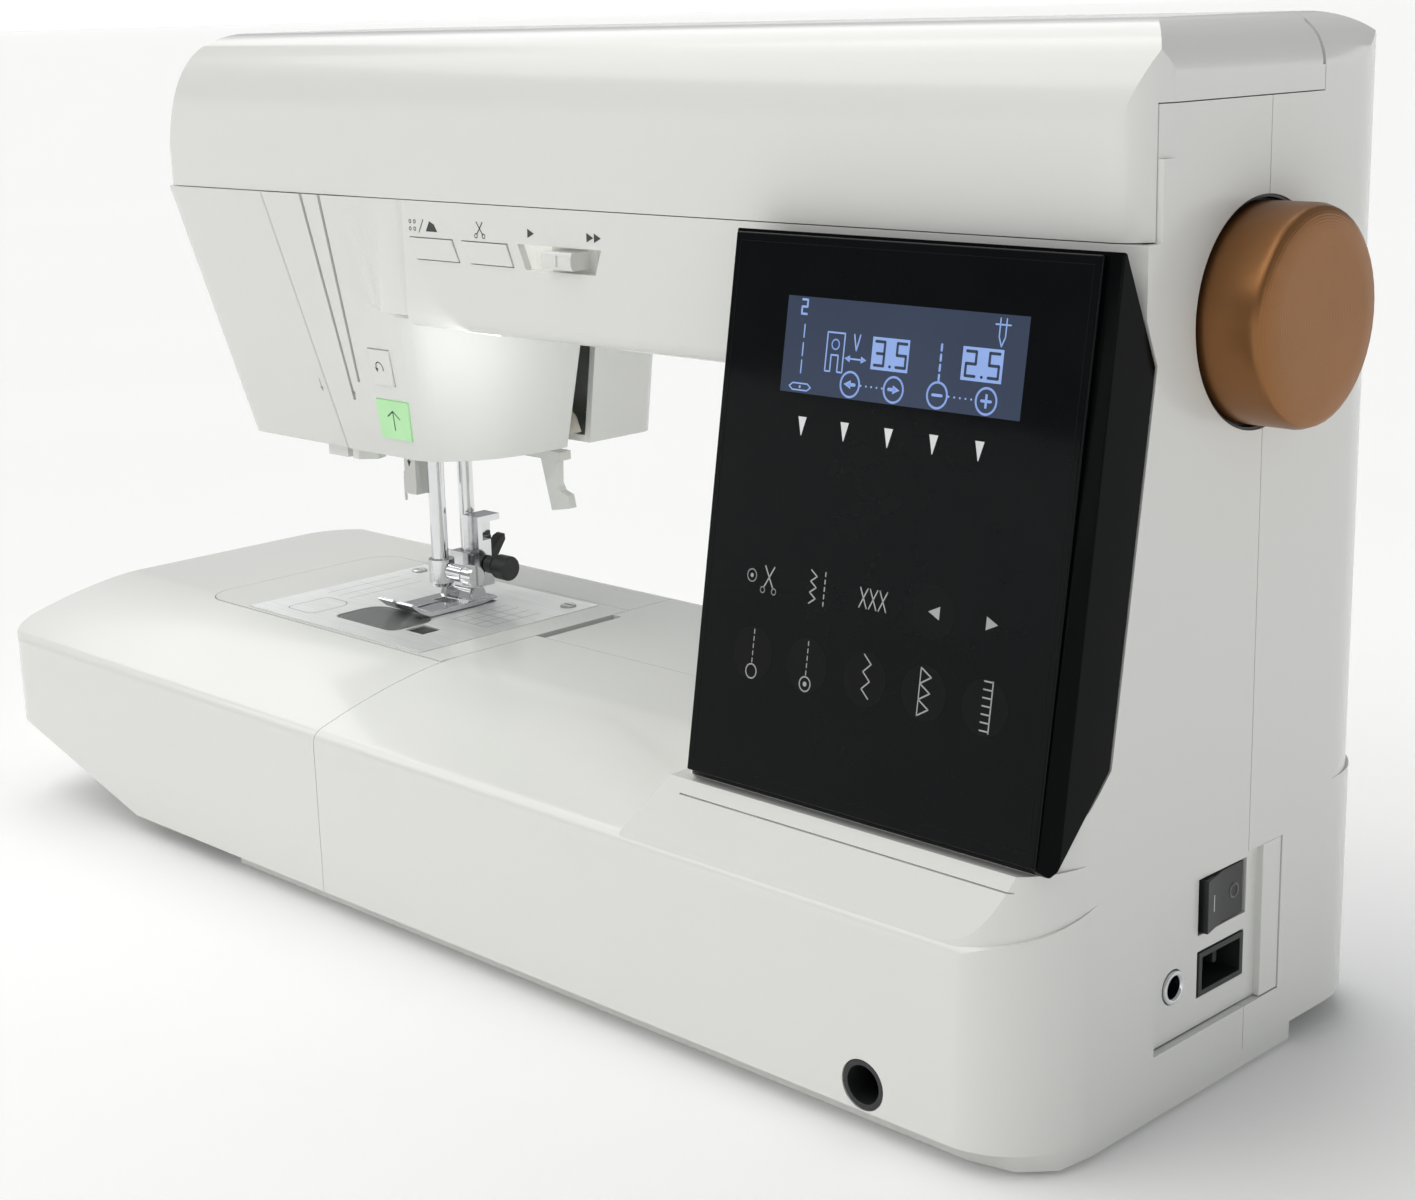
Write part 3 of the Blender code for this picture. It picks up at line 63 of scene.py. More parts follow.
TABLE_LEFT, SEAM_X, FRONT, BACK, BODY_BOTTOM, BED_TOP = edges("extension_table")
SEAM_X = round(SEAM_X + GAP / 2, 1)
RIGHT = edges("front_shell")[1]
LID_LEFT, _, ARM_FRONT, LID_BACK, GROOVE, TOP = edges("top_lid")
LID_THICK = 2.4
LID_AXIS = (37.1, round(TOP - LID_THICK / 2, 1))  # y and z of the hinge, in the bead along the back
LID_BACK = round(LID_AXIS[0] + LID_THICK / 2, 1)
HEAD_LEFT, FACE_SEAM_X, _, SLOT_BACK, HEAD_BOTTOM, _ = edges("face_cover")
FACE_SEAM_X = round(FACE_SEAM_X + GAP / 2, 1)
SLOT_BACK = round(SLOT_BACK + GAP, 1)
ARM_SPLIT_X, SLOT_FRONT = round(edges("head_cover")[1] + GAP / 2, 1), edges("head_cover")[3]
ARM_BACK = BACK - 2
ARM_BOTTOM = round(edges("led_lamp")[5] + GAP, 1)
SPLIT_Y = round(edges("front_shell")[3] + GAP / 2, 1)
BED_EDGE = BED_TOP - 13.3  # height of the bed's front edge, below its crowned top
LID_SIDE = TOP - 20.2  # underside of the lid at the right end
PANEL_LEFT = edges("panel_housing")[0]
COLUMN_LEFT = PANEL_LEFT + 0.2
wheel = edges("handwheel")
SHAFT = ((wheel[2] + wheel[3]) / 2, (wheel[4] + wheel[5]) / 2)
WHEEL_R = (wheel[3] - wheel[2]) / 2
LEAN = 0.319  # the head's front goes back this much for each unit down
# The control panel's front and back, seen from the side, as (y, z)
PANEL_FRONT_TOP = (-55.0, 239.0)
PANEL_FRONT_BOTTOM = (-81.1, 86.6)
PANEL_BACK = [(-76.7, 84.4), (-53.4, 107.5), (-36.7, 209.1), (-49.6, 238.6)]
CORNER_FRONT = 26.0
CORNER_BACK = 30.0
KNUCKLES = (-120.0, 60.0, 200.0)  # places of the lid's hinge lugs along X


# ---------------------------------------------------------------- shapes


def to_object(bm, name="shape"):
    bmesh.ops.recalc_face_normals(bm, faces=bm.faces)
    mesh = bpy.data.meshes.new(name)
    bm.to_mesh(mesh)
    bm.free()
    obj = bpy.data.objects.new(name, mesh)
    bpy.context.scene.collection.objects.link(obj)
    return obj


def place(axis, a, b, along):
    """A point from its two coordinates across the axis, in x, y, z order, and the one along it."""
    if axis == "X":
        return Vector((along, a, b)) * MM
    if axis == "Y":
        return Vector((a, along, b)) * MM
    return Vector((a, b, along)) * MM


def prism(axis, outline, low, high):
    bm = bmesh.new()
    first = [bm.verts.new(place(axis, a, b, low)) for a, b in outline]
    last = [bm.verts.new(place(axis, a, b, high)) for a, b in outline]
    bm.faces.new(first)
    bm.faces.new(last)
    for i in range(len(outline)):
        j = (i + 1) % len(outline)
        bm.faces.new((first[i], first[j], last[j], last[i]))
    return to_object(bm)


def box(x0, x1, y0, y1, z0, z1):
    return prism("Z", [(x0, y0), (x1, y0), (x1, y1), (x0, y1)], z0, z1)


def loft(levels):
    """A solid through outlines of equal length, each given as (z, [(x, y), ...])."""
    bm = bmesh.new()
    rings = [[bm.verts.new(place("Z", x, y, z)) for x, y in ring] for z, ring in levels]
    bm.faces.new(rings[0])
    bm.faces.new(rings[-1])
    for low, high in zip(rings, rings[1:]):
        for i in range(len(low)):
            j = (i + 1) % len(low)
            bm.faces.new((low[i], low[j], high[j]))
            bm.faces.new((low[i], high[j], high[i]))
    return to_object(bm)


def hull(points):
    bm = bmesh.new()
    for point in points:
        bm.verts.new(Vector(point) * MM)
    made = bmesh.ops.convex_hull(bm, input=bm.verts)
    spare = [item for item in made["geom_interior"] if isinstance(item, bmesh.types.BMVert)]
    bmesh.ops.delete(bm, geom=spare, context="VERTS")
    return to_object(bm)


def turned(axis, centre, profile, steps=64, ring=False):
    """A solid of revolution: profile is (radius, place along the axis); a ring closes on itself."""
    bm = bmesh.new()
    rows = []
    for radius, along in profile:
        if radius == 0:
            rows.append([bm.verts.new(place(axis, centre[0], centre[1], along))])
            continue
        row = []
        for k in range(steps):
            turn = 2 * math.pi * (k + 0.5) / steps
            a = centre[0] + radius * math.cos(turn)
            b = centre[1] + radius * math.sin(turn)
            row.append(bm.verts.new(place(axis, a, b, along)))
        rows.append(row)
    pairs = list(zip(rows, rows[1:]))
    if ring:
        pairs.append((rows[-1], rows[0]))
    for low, high in pairs:
        for k in range(steps):
            j = (k + 1) % steps
            corners = [low[k % len(low)], low[j % len(low)], high[j % len(high)], high[k % len(high)]]
            unique = list(dict.fromkeys(corners))
            if len(unique) > 2:
                bm.faces.new(unique)
    return to_object(bm)


def cylinder(axis, centre, radius, low, high, steps=64):
    return turned(axis, centre, [(0, low), (radius, low), (radius, high), (0, high)], steps)


def bake(obj):
    """Applies the object's modifiers."""
    graph = bpy.context.evaluated_depsgraph_get()
    mesh = bpy.data.meshes.new_from_object(obj.evaluated_get(graph))
    obj.modifiers.clear()
    obj.data = mesh
    return obj


def combine(kind, target, tools):
    for tool in tools:
        change = target.modifiers.new("combine", "BOOLEAN")
        change.operation = kind
        change.solver = "EXACT"
        change.object = tool
        bake(target)
        bpy.data.objects.remove(tool)
    return target


def cut(target, *tools):
    return combine("DIFFERENCE", target, tools)


def join(target, *tools):
    return combine("UNION", target, tools)


def keep(target, *tools):
    return combine("INTERSECT", target, tools)


def tidy(obj):
    """Joins the flat faces that Booleans split."""
    bm = bmesh.new()
    bm.from_mesh(obj.data)
    bmesh.ops.remove_doubles(bm, verts=bm.verts, dist=2e-6)
    bmesh.ops.dissolve_limit(bm, angle_limit=math.radians(0.4), verts=bm.verts, edges=bm.edges)
    bm.to_mesh(obj.data)
    bm.free()
    return obj


def arc(cx, cy, radius, start, end, steps):
    points = []
    for k in range(steps + 1):
        turn = math.radians(start + (end - start) * k / steps)
        points.append((cx + radius * math.cos(turn), cy + radius * math.sin(turn)))
    return points


def rounded(x0, x1, y0, y1, radii, steps=14):
    """A rectangle with its own radius at each corner: front left, front right, back right, back left."""
    fl, fr, br, bl = (max(r, 0.01) for r in radii)
    outline = arc(x0 + fl, y0 + fl, fl, 180, 270, steps if fl > 0.1 else 1)
    outline += arc(x1 - fr, y0 + fr, fr, 270, 360, steps if fr > 0.1 else 1)
    outline += arc(x1 - br, y1 - br, br, 0, 90, steps if br > 0.1 else 1)
    outline += arc(x0 + bl, y1 - bl, bl, 90, 180, steps if bl > 0.1 else 1)
    return outline


def curve(points, steps=5):
    """A smooth line through the points."""
    line = []
    for i in range(len(points) - 1):
        p = [points[max(i - 1, 0)], points[i], points[i + 1], points[min(i + 2, len(points) - 1)]]
        for k in range(steps):
            t = k / steps
            w = (-t + 2 * t * t - t**3, 2 - 5 * t * t + 3 * t**3, t + 4 * t * t - 3 * t**3, t**3 - t * t)
            line.append(tuple(sum(w[n] * p[n][c] for n in range(4)) / 2 for c in range(2)))
    return line + [points[-1]]


def lean_y(z):
    """y of the head's leaning front at a height."""
    return ARM_FRONT + LEAN * (237.0 - z)


def on_lean(outline, out, back):
    """A block through the leaning front: an (x, z) outline, from out before it to back behind it."""
    normal = Vector((0, -1, -LEAN)).normalized()
    points = []
    for x, z in outline:
        base = Vector((x, lean_y(z), z))
        points += [base + normal * out, base - normal * back]
    return hull(points)


def grown(outline, by):
    """The outline with each corner moved away from the middle."""
    cx = sum(p[0] for p in outline) / len(outline)
    cz = sum(p[1] for p in outline) / len(outline)
    return [(x + math.copysign(by, x - cx), z + math.copysign(by, z - cz)) for x, z in outline]


def panel_point(z, behind):
    """y and z of a point this far behind the panel's front, level with z on it."""
    (y1, z1), (y0, z0) = PANEL_FRONT_TOP, PANEL_FRONT_BOTTOM
    slope = (y1 - y0) / (z1 - z0)
    length = math.hypot(1, slope)
    return (y1 - slope * (z1 - z) + behind / length, z - behind * slope / length)


def fine_edges(obj, width=0.35, segments=2, angle=40, crease=None):
    """Small rounded edges and even shading, left as modifiers."""
    for face in obj.data.polygons:
        face.use_smooth = True
    if crease:
        obj.data.set_sharp_from_angle(angle=math.radians(crease))
    bevel = obj.modifiers.new("edge", "BEVEL")
    bevel.width = width * MM
    bevel.segments = segments
    bevel.angle_limit = math.radians(angle)
    bevel.harden_normals = False
    normals = obj.modifiers.new("normals", "WEIGHTED_NORMAL")
    normals.keep_sharp = True
    return obj


def piece(obj, name, body, look, stands_for=None, width=0.35):
    """Names a shape, gives it its look and finish, and rides it on its CAD body."""
    obj.name = name
    obj.data.name = name
    obj.data.materials.clear()
    obj.data.materials.append(look)
    for face in obj.data.polygons:
        face.material_index = 0
    tidy(obj)
    if width:
        fine_edges(obj, width, crease=16.5)
    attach(obj, body)
    if stands_for:
        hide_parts(stands_for)
    return obj


# ---------------------------------------------------------------- materials


def surface(name, light, dark, rough, metallic=0.0, scale=60.0, stretch=(1, 1, 1), grain=0.03, spread=0.04):
    """A Principled surface whose colour, roughness and fine relief follow two noises."""
    made = bpy.data.materials.new(name)
    made.use_nodes = True
    tree = made.node_tree
    shader = tree.nodes["Principled BSDF"]
    shader.inputs["Metallic"].default_value = metallic
    coords = tree.nodes.new("ShaderNodeTexCoord")
    mapping = tree.nodes.new("ShaderNodeMapping")
    mapping.inputs["Scale"].default_value = stretch
    tree.links.new(coords.outputs["Object"], mapping.inputs["Vector"])
    broad = tree.nodes.new("ShaderNodeTexNoise")
    broad.inputs["Scale"].default_value = scale
    broad.inputs["Detail"].default_value = 4.0
    tree.links.new(mapping.outputs["Vector"], broad.inputs["Vector"])
    ramp = tree.nodes.new("ShaderNodeValToRGB")
    ramp.color_ramp.elements[0].position = 0.3
    ramp.color_ramp.elements[1].position = 0.7
    ramp.color_ramp.elements[0].color = (*dark, 1)
    ramp.color_ramp.elements[1].color = (*light, 1)
    tree.links.new(broad.outputs["Fac"], ramp.inputs["Fac"])
    tree.links.new(ramp.outputs["Color"], shader.inputs["Base Color"])
    spread_node = tree.nodes.new("ShaderNodeMapRange")
    spread_node.inputs["To Min"].default_value = max(rough - spread, 0.01)
    spread_node.inputs["To Max"].default_value = rough + spread
    tree.links.new(broad.outputs["Fac"], spread_node.inputs["Value"])
    tree.links.new(spread_node.outputs["Result"], shader.inputs["Roughness"])
    fine = tree.nodes.new("ShaderNodeTexNoise")
    fine.inputs["Scale"].default_value = scale * 25
    fine.inputs["Detail"].default_value = 2.0
    tree.links.new(mapping.outputs["Vector"], fine.inputs["Vector"])
    bump = tree.nodes.new("ShaderNodeBump")
    bump.inputs["Strength"].default_value = grain
    bump.inputs["Distance"].default_value = 0.0002
    tree.links.new(fine.outputs["Fac"], bump.inputs["Height"])
    tree.links.new(bump.outputs["Normal"], shader.inputs["Normal"])
    return made


def value(look, name, number):
    look.node_tree.nodes["Principled BSDF"].inputs[name].default_value = number
    return look


def glow(look, color, strength):
    value(look, "Emission Color", (*color, 1))
    return value(look, "Emission Strength", strength)


def ringed(look, axis_y, axis_z):
    """Fine turned rings round the handwheel's axis in the relief."""
    tree = look.node_tree
    coords = tree.nodes.new("ShaderNodeTexCoord")
    shift = tree.nodes.new("ShaderNodeMapping")
    shift.inputs["Location"].default_value = (0, -axis_y * MM, -axis_z * MM)
    wave = tree.nodes.new("ShaderNodeTexWave")
    wave.wave_type = "RINGS"
    wave.rings_direction = "X"
    wave.inputs["Scale"].default_value = 420.0
    wave.inputs["Distortion"].default_value = 1.5
    tree.links.new(coords.outputs["Object"], shift.inputs["Vector"])
    tree.links.new(shift.outputs["Vector"], wave.inputs["Vector"])
    bump = next(n for n in tree.nodes if n.bl_idname == "ShaderNodeBump")
    second = tree.nodes.new("ShaderNodeBump")
    second.inputs["Strength"].default_value = 0.12
    second.inputs["Distance"].default_value = 0.0002
    tree.links.new(wave.outputs["Fac"], second.inputs["Height"])
    tree.links.new(bump.outputs["Normal"], second.inputs["Normal"])
    tree.links.new(second.outputs["Normal"], tree.nodes["Principled BSDF"].inputs["Normal"])
    return look


for imported in list(bpy.data.materials):
    bpy.data.materials.remove(imported)

white = surface(
    "white_plastic", (0.80, 0.805, 0.775), (0.79, 0.795, 0.765), 0.24, scale=9, grain=0.012, spread=0.015
)
value(white, "Coat Weight", 0.25)
value(white, "Coat Roughness", 0.08)
deck = surface("deck_plastic", (0.66, 0.67, 0.66), (0.6, 0.61, 0.6), 0.45)
black_gloss = surface(
    "black_gloss", (0.003, 0.0035, 0.0035), (0.0022, 0.0027, 0.003), 0.09, grain=0.005, spread=0.02
)
value(black_gloss, "Specular IOR Level", 0.05)
smoke = surface(
    "smoked_glass", (0.0035, 0.004, 0.0045), (0.0025, 0.003, 0.0035), 0.06, grain=0.004, spread=0.015
)
value(smoke, "Specular IOR Level", 0.1)
black = surface("black_plastic", (0.024, 0.025, 0.026), (0.014, 0.015, 0.016), 0.42, grain=0.15)
rubber = surface("rubber", (0.03, 0.03, 0.03), (0.018, 0.018, 0.018), 0.8, grain=0.3)
chrome = surface("chrome", (0.82, 0.83, 0.84), (0.72, 0.73, 0.74), 0.12, 1.0, grain=0.02)
steel = surface("brushed_steel", (0.66, 0.66, 0.65), (0.5, 0.5, 0.49), 0.3, 1.0, 30, (2, 40, 2), 0.1, 0.07)
plate_look = surface(
    "plate_steel", (0.86, 0.87, 0.86), (0.76, 0.77, 0.76), 0.38, 0.45, 30, (2, 40, 2), 0.08, 0.07
)
cast = surface("cast_aluminium", (0.52, 0.53, 0.54), (0.4, 0.41, 0.42), 0.55, 0.9, grain=0.4)
copper = ringed(surface("copper", (0.30, 0.138, 0.052), (0.27, 0.124, 0.045), 0.36, 0.8, 40), *SHAFT)
clear = surface("clear_plastic", (0.86, 0.88, 0.87), (0.78, 0.8, 0.79), 0.08, grain=0.01)
value(clear, "Transmission Weight", 0.85)
value(clear, "IOR", 1.2)
beige = surface("beige_plastic", (0.66, 0.63, 0.54), (0.58, 0.55, 0.47), 0.4)
green = glow(surface("lit_green", (0.42, 0.72, 0.40), (0.36, 0.66, 0.34), 0.35), (0.42, 0.72, 0.36), 0.28)
board = surface("circuit_board", (0.03, 0.22, 0.09), (0.01, 0.12, 0.05), 0.5, scale=300)
lamp = glow(surface("lamp", (0.8, 0.8, 0.78), (0.75, 0.75, 0.73), 0.3), (1, 0.98, 0.92), 0.12)
# White plastic of the hollow round the slider; its glow is painted light that lifts the shade deep in the
# hollow
hollow_painted_light = surface("recess_white_painted_light", (0.80, 0.805, 0.775), (0.78, 0.785, 0.755), 0.4)
glow(hollow_painted_light, (0.8, 0.8, 0.77), 0.32)
screen = surface("lcd", (0.03, 0.042, 0.07), (0.022, 0.032, 0.055), 0.18, scale=18)
glow(screen, (0.04, 0.055, 0.095), 0.4)
value(screen, "Specular IOR Level", 0.2)
ink = surface("ink_white", (0.8, 0.82, 0.82), (0.7, 0.72, 0.72), 0.5)
pale = glow(surface("ink_pale_blue", (0.2, 0.3, 0.55), (0.17, 0.26, 0.5), 0.4), (0.2, 0.3, 0.6), 0.55)
dark_green = surface("ink_green", (0.03, 0.12, 0.05), (0.02, 0.08, 0.03), 0.5)
dark_mark = surface("ink_dark", (0.05, 0.06, 0.055), (0.035, 0.045, 0.04), 0.5)
grey = surface("ink_grey", (0.36, 0.37, 0.37), (0.28, 0.29, 0.29), 0.5)
faint = surface("key_ring", (0.0062, 0.0066, 0.0066), (0.0052, 0.0056, 0.0056), 0.3)
icon_grey = surface("ink_silver", (0.42, 0.43, 0.43), (0.36, 0.37, 0.37), 0.5)
value(faint, "Specular IOR Level", 0.1)


# ---------------------------------------------------------------- large covers


def bed_profile(inset, bottom):
    """The bed's outline across X: a rounded front edge, a crowned top and a rounded back."""
    front, fillet = FRONT + inset, 5.0 - inset
    outline = [(front, bottom)]
    outline += arc(front + fillet, BED_EDGE - 0.715 * fillet - inset * 0.7, fillet, 180, 108.9, 7)
    start = outline[-1][0] + 1.2
    for k in range(16):
        y = start + (-24 - start) * k / 15
        outline.append((y, BED_TOP - 0.01388 * max(-24 - y, 0) ** 1.65 - inset))
    outline += [(82, BED_TOP - inset)] + arc(82, BED_TOP - 6, 6 - inset, 85, 0, 7)
    return outline + [(BACK - inset, bottom)]


def fixed_bed(inset):
    """The bed right of the table's seam; an inset gives the hollow inside it."""
    low = BODY_BOTTOM if inset == 0 else -5.0
    left = SEAM_X + GAP / 2 if inset == 0 else SEAM_X - 5
    bed = prism("X", bed_profile(inset, low), left, RIGHT - inset)
    radii = (0, CORNER_FRONT - inset, CORNER_BACK - inset, 0)
    plan = rounded(left - 1, RIGHT - inset, FRONT + inset, BACK - inset, radii)
    return keep(bed, prism("Z", plan, -10, 100))


def pedestal(inset):
    """The step that rises from the bed to carry the panel and the column."""
    top = PANEL_BACK[0][1] - GAP - inset
    front = FRONT + 0.9 + inset
    right = RIGHT - 0.3 - inset
    rear = -40 - inset
    points = []
    for x, z in ((COLUMN_LEFT - 20 + inset, BED_EDGE - 3), (COLUMN_LEFT - 4 + inset, top), (right, top)):
        points += [(x, front, 60), (x, front, BED_EDGE + 0.6 - inset), (x, rear, 60), (x, rear, z)]
        points += [(x, PANEL_FRONT_BOTTOM[0] + 0.6 + inset, z)]
    plan = rounded(0, right, front + 0.2, BACK - inset, (0, CORNER_FRONT - inset, 1, 0), 13)
    return keep(hull(points), prism("Z", plan, 50, 100))


def column(inset):
    """The post between bed and arm, set back behind the panel."""
    slip = GAP + inset
    outline = [(y + slip, z) for y, z in PANEL_BACK[:3]]
    outline += [(ARM_FRONT + inset, 221), (ARM_FRONT + inset, 260 - inset), (ARM_BACK - inset, 260 - inset)]
    outline += [(ARM_BACK - inset, 70 - inset), (PANEL_BACK[0][0] + slip, 70 - inset)]
    post = prism("X", outline, COLUMN_LEFT + inset, RIGHT - inset)
    radii = (8, CORNER_FRONT + 2 - inset, CORNER_BACK - inset, 12)
    plan = rounded(COLUMN_LEFT + inset, RIGHT - inset, FRONT + 2 + inset, ARM_BACK - inset, radii, 12)
    return keep(post, prism("Z", plan, 60, 265))


def arm_profile(inset):
    outline = arc(ARM_FRONT + 5, ARM_BOTTOM + 5, 5 - inset, 180, 270, 6)
    outline += arc(80, ARM_BOTTOM + 6, 6 - inset, 270, 360, 6)
    outline += arc(ARM_BACK - 38, TOP - 38, 38 - inset, 0, 90, 20)
    return outline + [(ARM_FRONT + inset, TOP - inset)]


def arm(inset, left):
    """The arm; where it reaches the head's left end, its end slopes up like the lid's."""
    beam = prism("X", arm_profile(inset), left, RIGHT - inset)
    radii = (0, 12, CORNER_BACK - inset, 0)
    plan = rounded(left, RIGHT - inset, ARM_FRONT + inset, ARM_BACK - inset, radii, 13)
    front = [(left, 150), (RIGHT - inset, 150)] + arc(RIGHT - 14, TOP - 14, 14 - inset, 0, 90, 11)
    if left < FACE_SEAM_X:
        rise = [(left + 27, TOP - inset), (left + 19, 289.5 - inset / 2), (left + 14, 281), (left + 8, 262)]
        front += curve(rise + [(left, 242)], 4)
    else:
        front.append((left, TOP - inset))
    return keep(beam, prism("Z", plan, 150, 320), prism("Y", front, -60, 100))


def head_back(inset):
    """The rear part of the head that hangs below the arm."""
    right = ARM_SPLIT_X - 4 - inset
    levels = []
    for z, narrow in ((HEAD_BOTTOM + inset, 10.0), (215, 0.0)):
        y0 = SLOT_BACK - 8 * (inset > 0)
        ring = rounded(HEAD_LEFT + inset, right - narrow, y0, ARM_BACK - inset, (0.02, 0.02, 8, 8), 8)
        levels.append((z, ring))
    return loft(levels)


def body(inset, left):
    return join(fixed_bed(inset), pedestal(inset), column(inset), arm(inset, left))


def lid_space():
    """The room that the lid takes from the covers under it."""
    space = box(-250, RIGHT - 10, -60, LID_BACK + GAP, GROOVE - GAP, 330)
    right_end = box(RIGHT - 11, RIGHT + 10, -60, LID_BACK + GAP, LID_SIDE - GAP, 330)
    corner = box(RIGHT - 11, RIGHT + 10, -60, -35.4, GROOVE - GAP, 330)
    return join(space, right_end, corner)


def wheel_opening():
    return cylinder("X", SHAFT, WHEEL_R + 1.7, RIGHT - 12, RIGHT + 12, 96)


socket = [round(v, 1) for v in edges("socket_panel")]
SOCKET = (socket[2] - GAP, socket[3] + GAP, socket[4] - GAP, socket[5] + GAP)  # y low, y high, z low, z high


def socket_opening():
    y0, y1, z0, z1 = SOCKET
    return box(RIGHT - 20, RIGHT + 5, y0, y1, z0, z1)


def panel_space():
    """The room that the control panel takes from the front cover."""
    outline = [(y + GAP / 2, z) for y, z in PANEL_BACK]
    outline += [(-110, PANEL_BACK[3][1]), (-110, PANEL_BACK[0][1])]
    return prism("X", outline, PANEL_LEFT - GAP, RIGHT + 5)


# Openings in the front of the arm and in the head, each as four (x, z) corners
NEEDLE_BUTTON = [(-46.0, 227.3), (-24.0, 227.3), (-20.5, 220.4), (-42.5, 220.4)]
CUTTER_BUTTON = [(-19.0, 227.3), (3.5, 227.3), (6.5, 220.4), (-14.5, 220.4)]
SPEED_RECESS = [(9.0, 227.5), (47.5, 227.5), (44.5, 220.2), (12.5, 220.2)]
START_STOP = [(-100.8, 164.6), (-82.6, 164.6), (-87.4, 149.6), (-104.5, 149.6)]
REVERSE = [(-96.0, 184.0), (-84.0, 184.0), (-87.0, 170.6), (-98.6, 170.6)]
knee = edges("knee_socket")
KNEE = ((knee[0] + knee[1]) / 2, (knee[4] + knee[5]) / 2)
KNEE_R = (knee[1] - knee[0]) / 2


def front_cover():
    shell = cut(body(0, ARM_SPLIT_X + GAP / 2), body(WALL, ARM_SPLIT_X - 5))
    shell = keep(shell, box(-300, 300, -120, SPLIT_Y - GAP / 2, 0, 330))
    shell = cut(shell, lid_space(), wheel_opening(), socket_opening(), panel_space())
    cut(shell, cylinder("Y", KNEE, KNEE_R + GAP, -100, -60, 40))
    line_under_panel = box(COLUMN_LEFT + 1, RIGHT - 9, FRONT - 2, -80.7, 79.5, 80.0)
    cut(shell, line_under_panel)
    for outline in (NEEDLE_BUTTON, CUTTER_BUTTON, SPEED_RECESS):
        cut(shell, prism("Y", grown(outline, GAP), ARM_FRONT - 5, ARM_FRONT + 8))
    return shell


def rear_cover():
    outside = join(body(0, HEAD_LEFT), head_back(0))
    inside = join(body(WALL, HEAD_LEFT + WALL), head_back(WALL))
    shell = cut(outside, inside)
    shell = keep(shell, box(-300, 300, SPLIT_Y + GAP / 2, 120, 0, 330))
    shell = cut(shell, box(HEAD_LEFT - 5, ARM_SPLIT_X, -120, SLOT_BACK, 0, GROOVE), lid_space())
    handle = edges("carry_handle")
    x0, x1 = handle[0] + 2.6, handle[1] - 2.6
    well = [(45, 291), (45, 275), (63, 257), (84.5, 247), (85.5, 262), (76, 280), (60, 290)]
    join(shell, prism("X", well, x0 - 6, x1 + 6))
    pocket = [(49.5, 310), (49.5, 277.5), (66, 260.5), (100, 245), (100, 310)]
    cut(shell, prism("X", pocket, x0 - 3, x1 + 3), wheel_opening(), socket_opening())
    return cut(shell, cylinder("X", (56, 281.5), 2.3, x0 - 4.8, x1 + 4.8, 32))


def side_cover():
    def levels(inset, low, high):
        rings = []
        far = FACE_SEAM_X - GAP / 2 + 5 * (inset > 0)
        for z in (low, high):
            y = lean_y(z) + inset
            ring = [(far, y)] + arc(HEAD_LEFT + 7, y + 7, 7 - inset, 270, 180, 8)
            back = SLOT_BACK - GAP + 5 * (inset > 0)
            rings.append((z, ring + [(HEAD_LEFT + inset, back), (far, back)]))
        return rings

    cover = loft(levels(0, HEAD_BOTTOM, GROOVE - GAP))
    cut(cover, loft(levels(WALL, HEAD_BOTTOM + WALL, GROOVE + 8)))
    return cut(cover, box(-146, FACE_SEAM_X + 5, 6, SLOT_BACK + 2, HEAD_BOTTOM - 3, HEAD_BOTTOM + 5))


def head_ring(z, inset):
    """The head cover's outline at a height: a leaning front that turns into the rounded nose."""
    left = FACE_SEAM_X + GAP / 2 + 0.5 * (inset == 0) - 5 * (inset > 0)
    back = SLOT_FRONT + 5 * (inset > 0)
    y = lean_y(z) + inset
    if z > ARM_BOTTOM + WALL + 1:
        front = ARM_FRONT + inset
        right = ARM_SPLIT_X - GAP / 2 + 5 * (inset > 0)
        bend = [(-90, y), (-84, y), (-77 + inset, y * 0.72 + front * 0.28)]
        bend += [(-69 + inset, y * 0.25 + front * 0.75), (-62 + inset, front), (right - 2, front)]
        return [(left, y)] + curve(bend) + [(right, front + 0.5), (right, back), (left, back)]
    t = (z - HEAD_BOTTOM) / (ARM_BOTTOM - HEAD_BOTTOM)
    edge = -84.5 + 16.5 * t - inset
    side = -64 + 13.5 * t - inset
    deep = (SLOT_FRONT - 6 - y) / 46.0
    bend = [(edge - 4, y), (edge + 2, y + 1.6), (edge + 0.35 * (side - edge), y + 6)]
    bend += [(side - 6, y + 15 * deep), (side - 1.5, y + 28 * deep), (side, SLOT_FRONT - 5)]
    return [(left, y)] + curve(bend) + [(side, SLOT_FRONT - 3), (side, back), (left, back)]


def nose_cover():
    low = [HEAD_BOTTOM + (ARM_BOTTOM - HEAD_BOTTOM) * k / 8 for k in range(9)]
    cover = loft([(z, head_ring(z, 0)) for z in low + [ARM_BOTTOM + 4, GROOVE - GAP]])
    inner = [HEAD_BOTTOM + WALL] + low[1:-1] + [ARM_BOTTOM + WALL, ARM_BOTTOM + WALL + 4, GROOVE + 8]
    cut(cover, loft([(z, head_ring(z, WALL)) for z in inner]))
    cut(cover, box(FACE_SEAM_X - 5, -100, 8, SLOT_FRONT + 5, HEAD_BOTTOM - 3, HEAD_BOTTOM + 5))
    thread_slots = ((-105.8, -115.0, 162.6), (-95.0, -108.6, 170.0))
    for top_x, low_x, low_z in thread_slots:
        slot = [(top_x - 0.8, 241), (top_x + 0.8, 241), (low_x + 0.8, low_z), (low_x - 0.8, low_z)]
        cut(cover, on_lean(slot, 4, 6))
    for outline in (START_STOP, REVERSE):
        cut(cover, on_lean(grown(outline, GAP), 4, 6))
    return cover


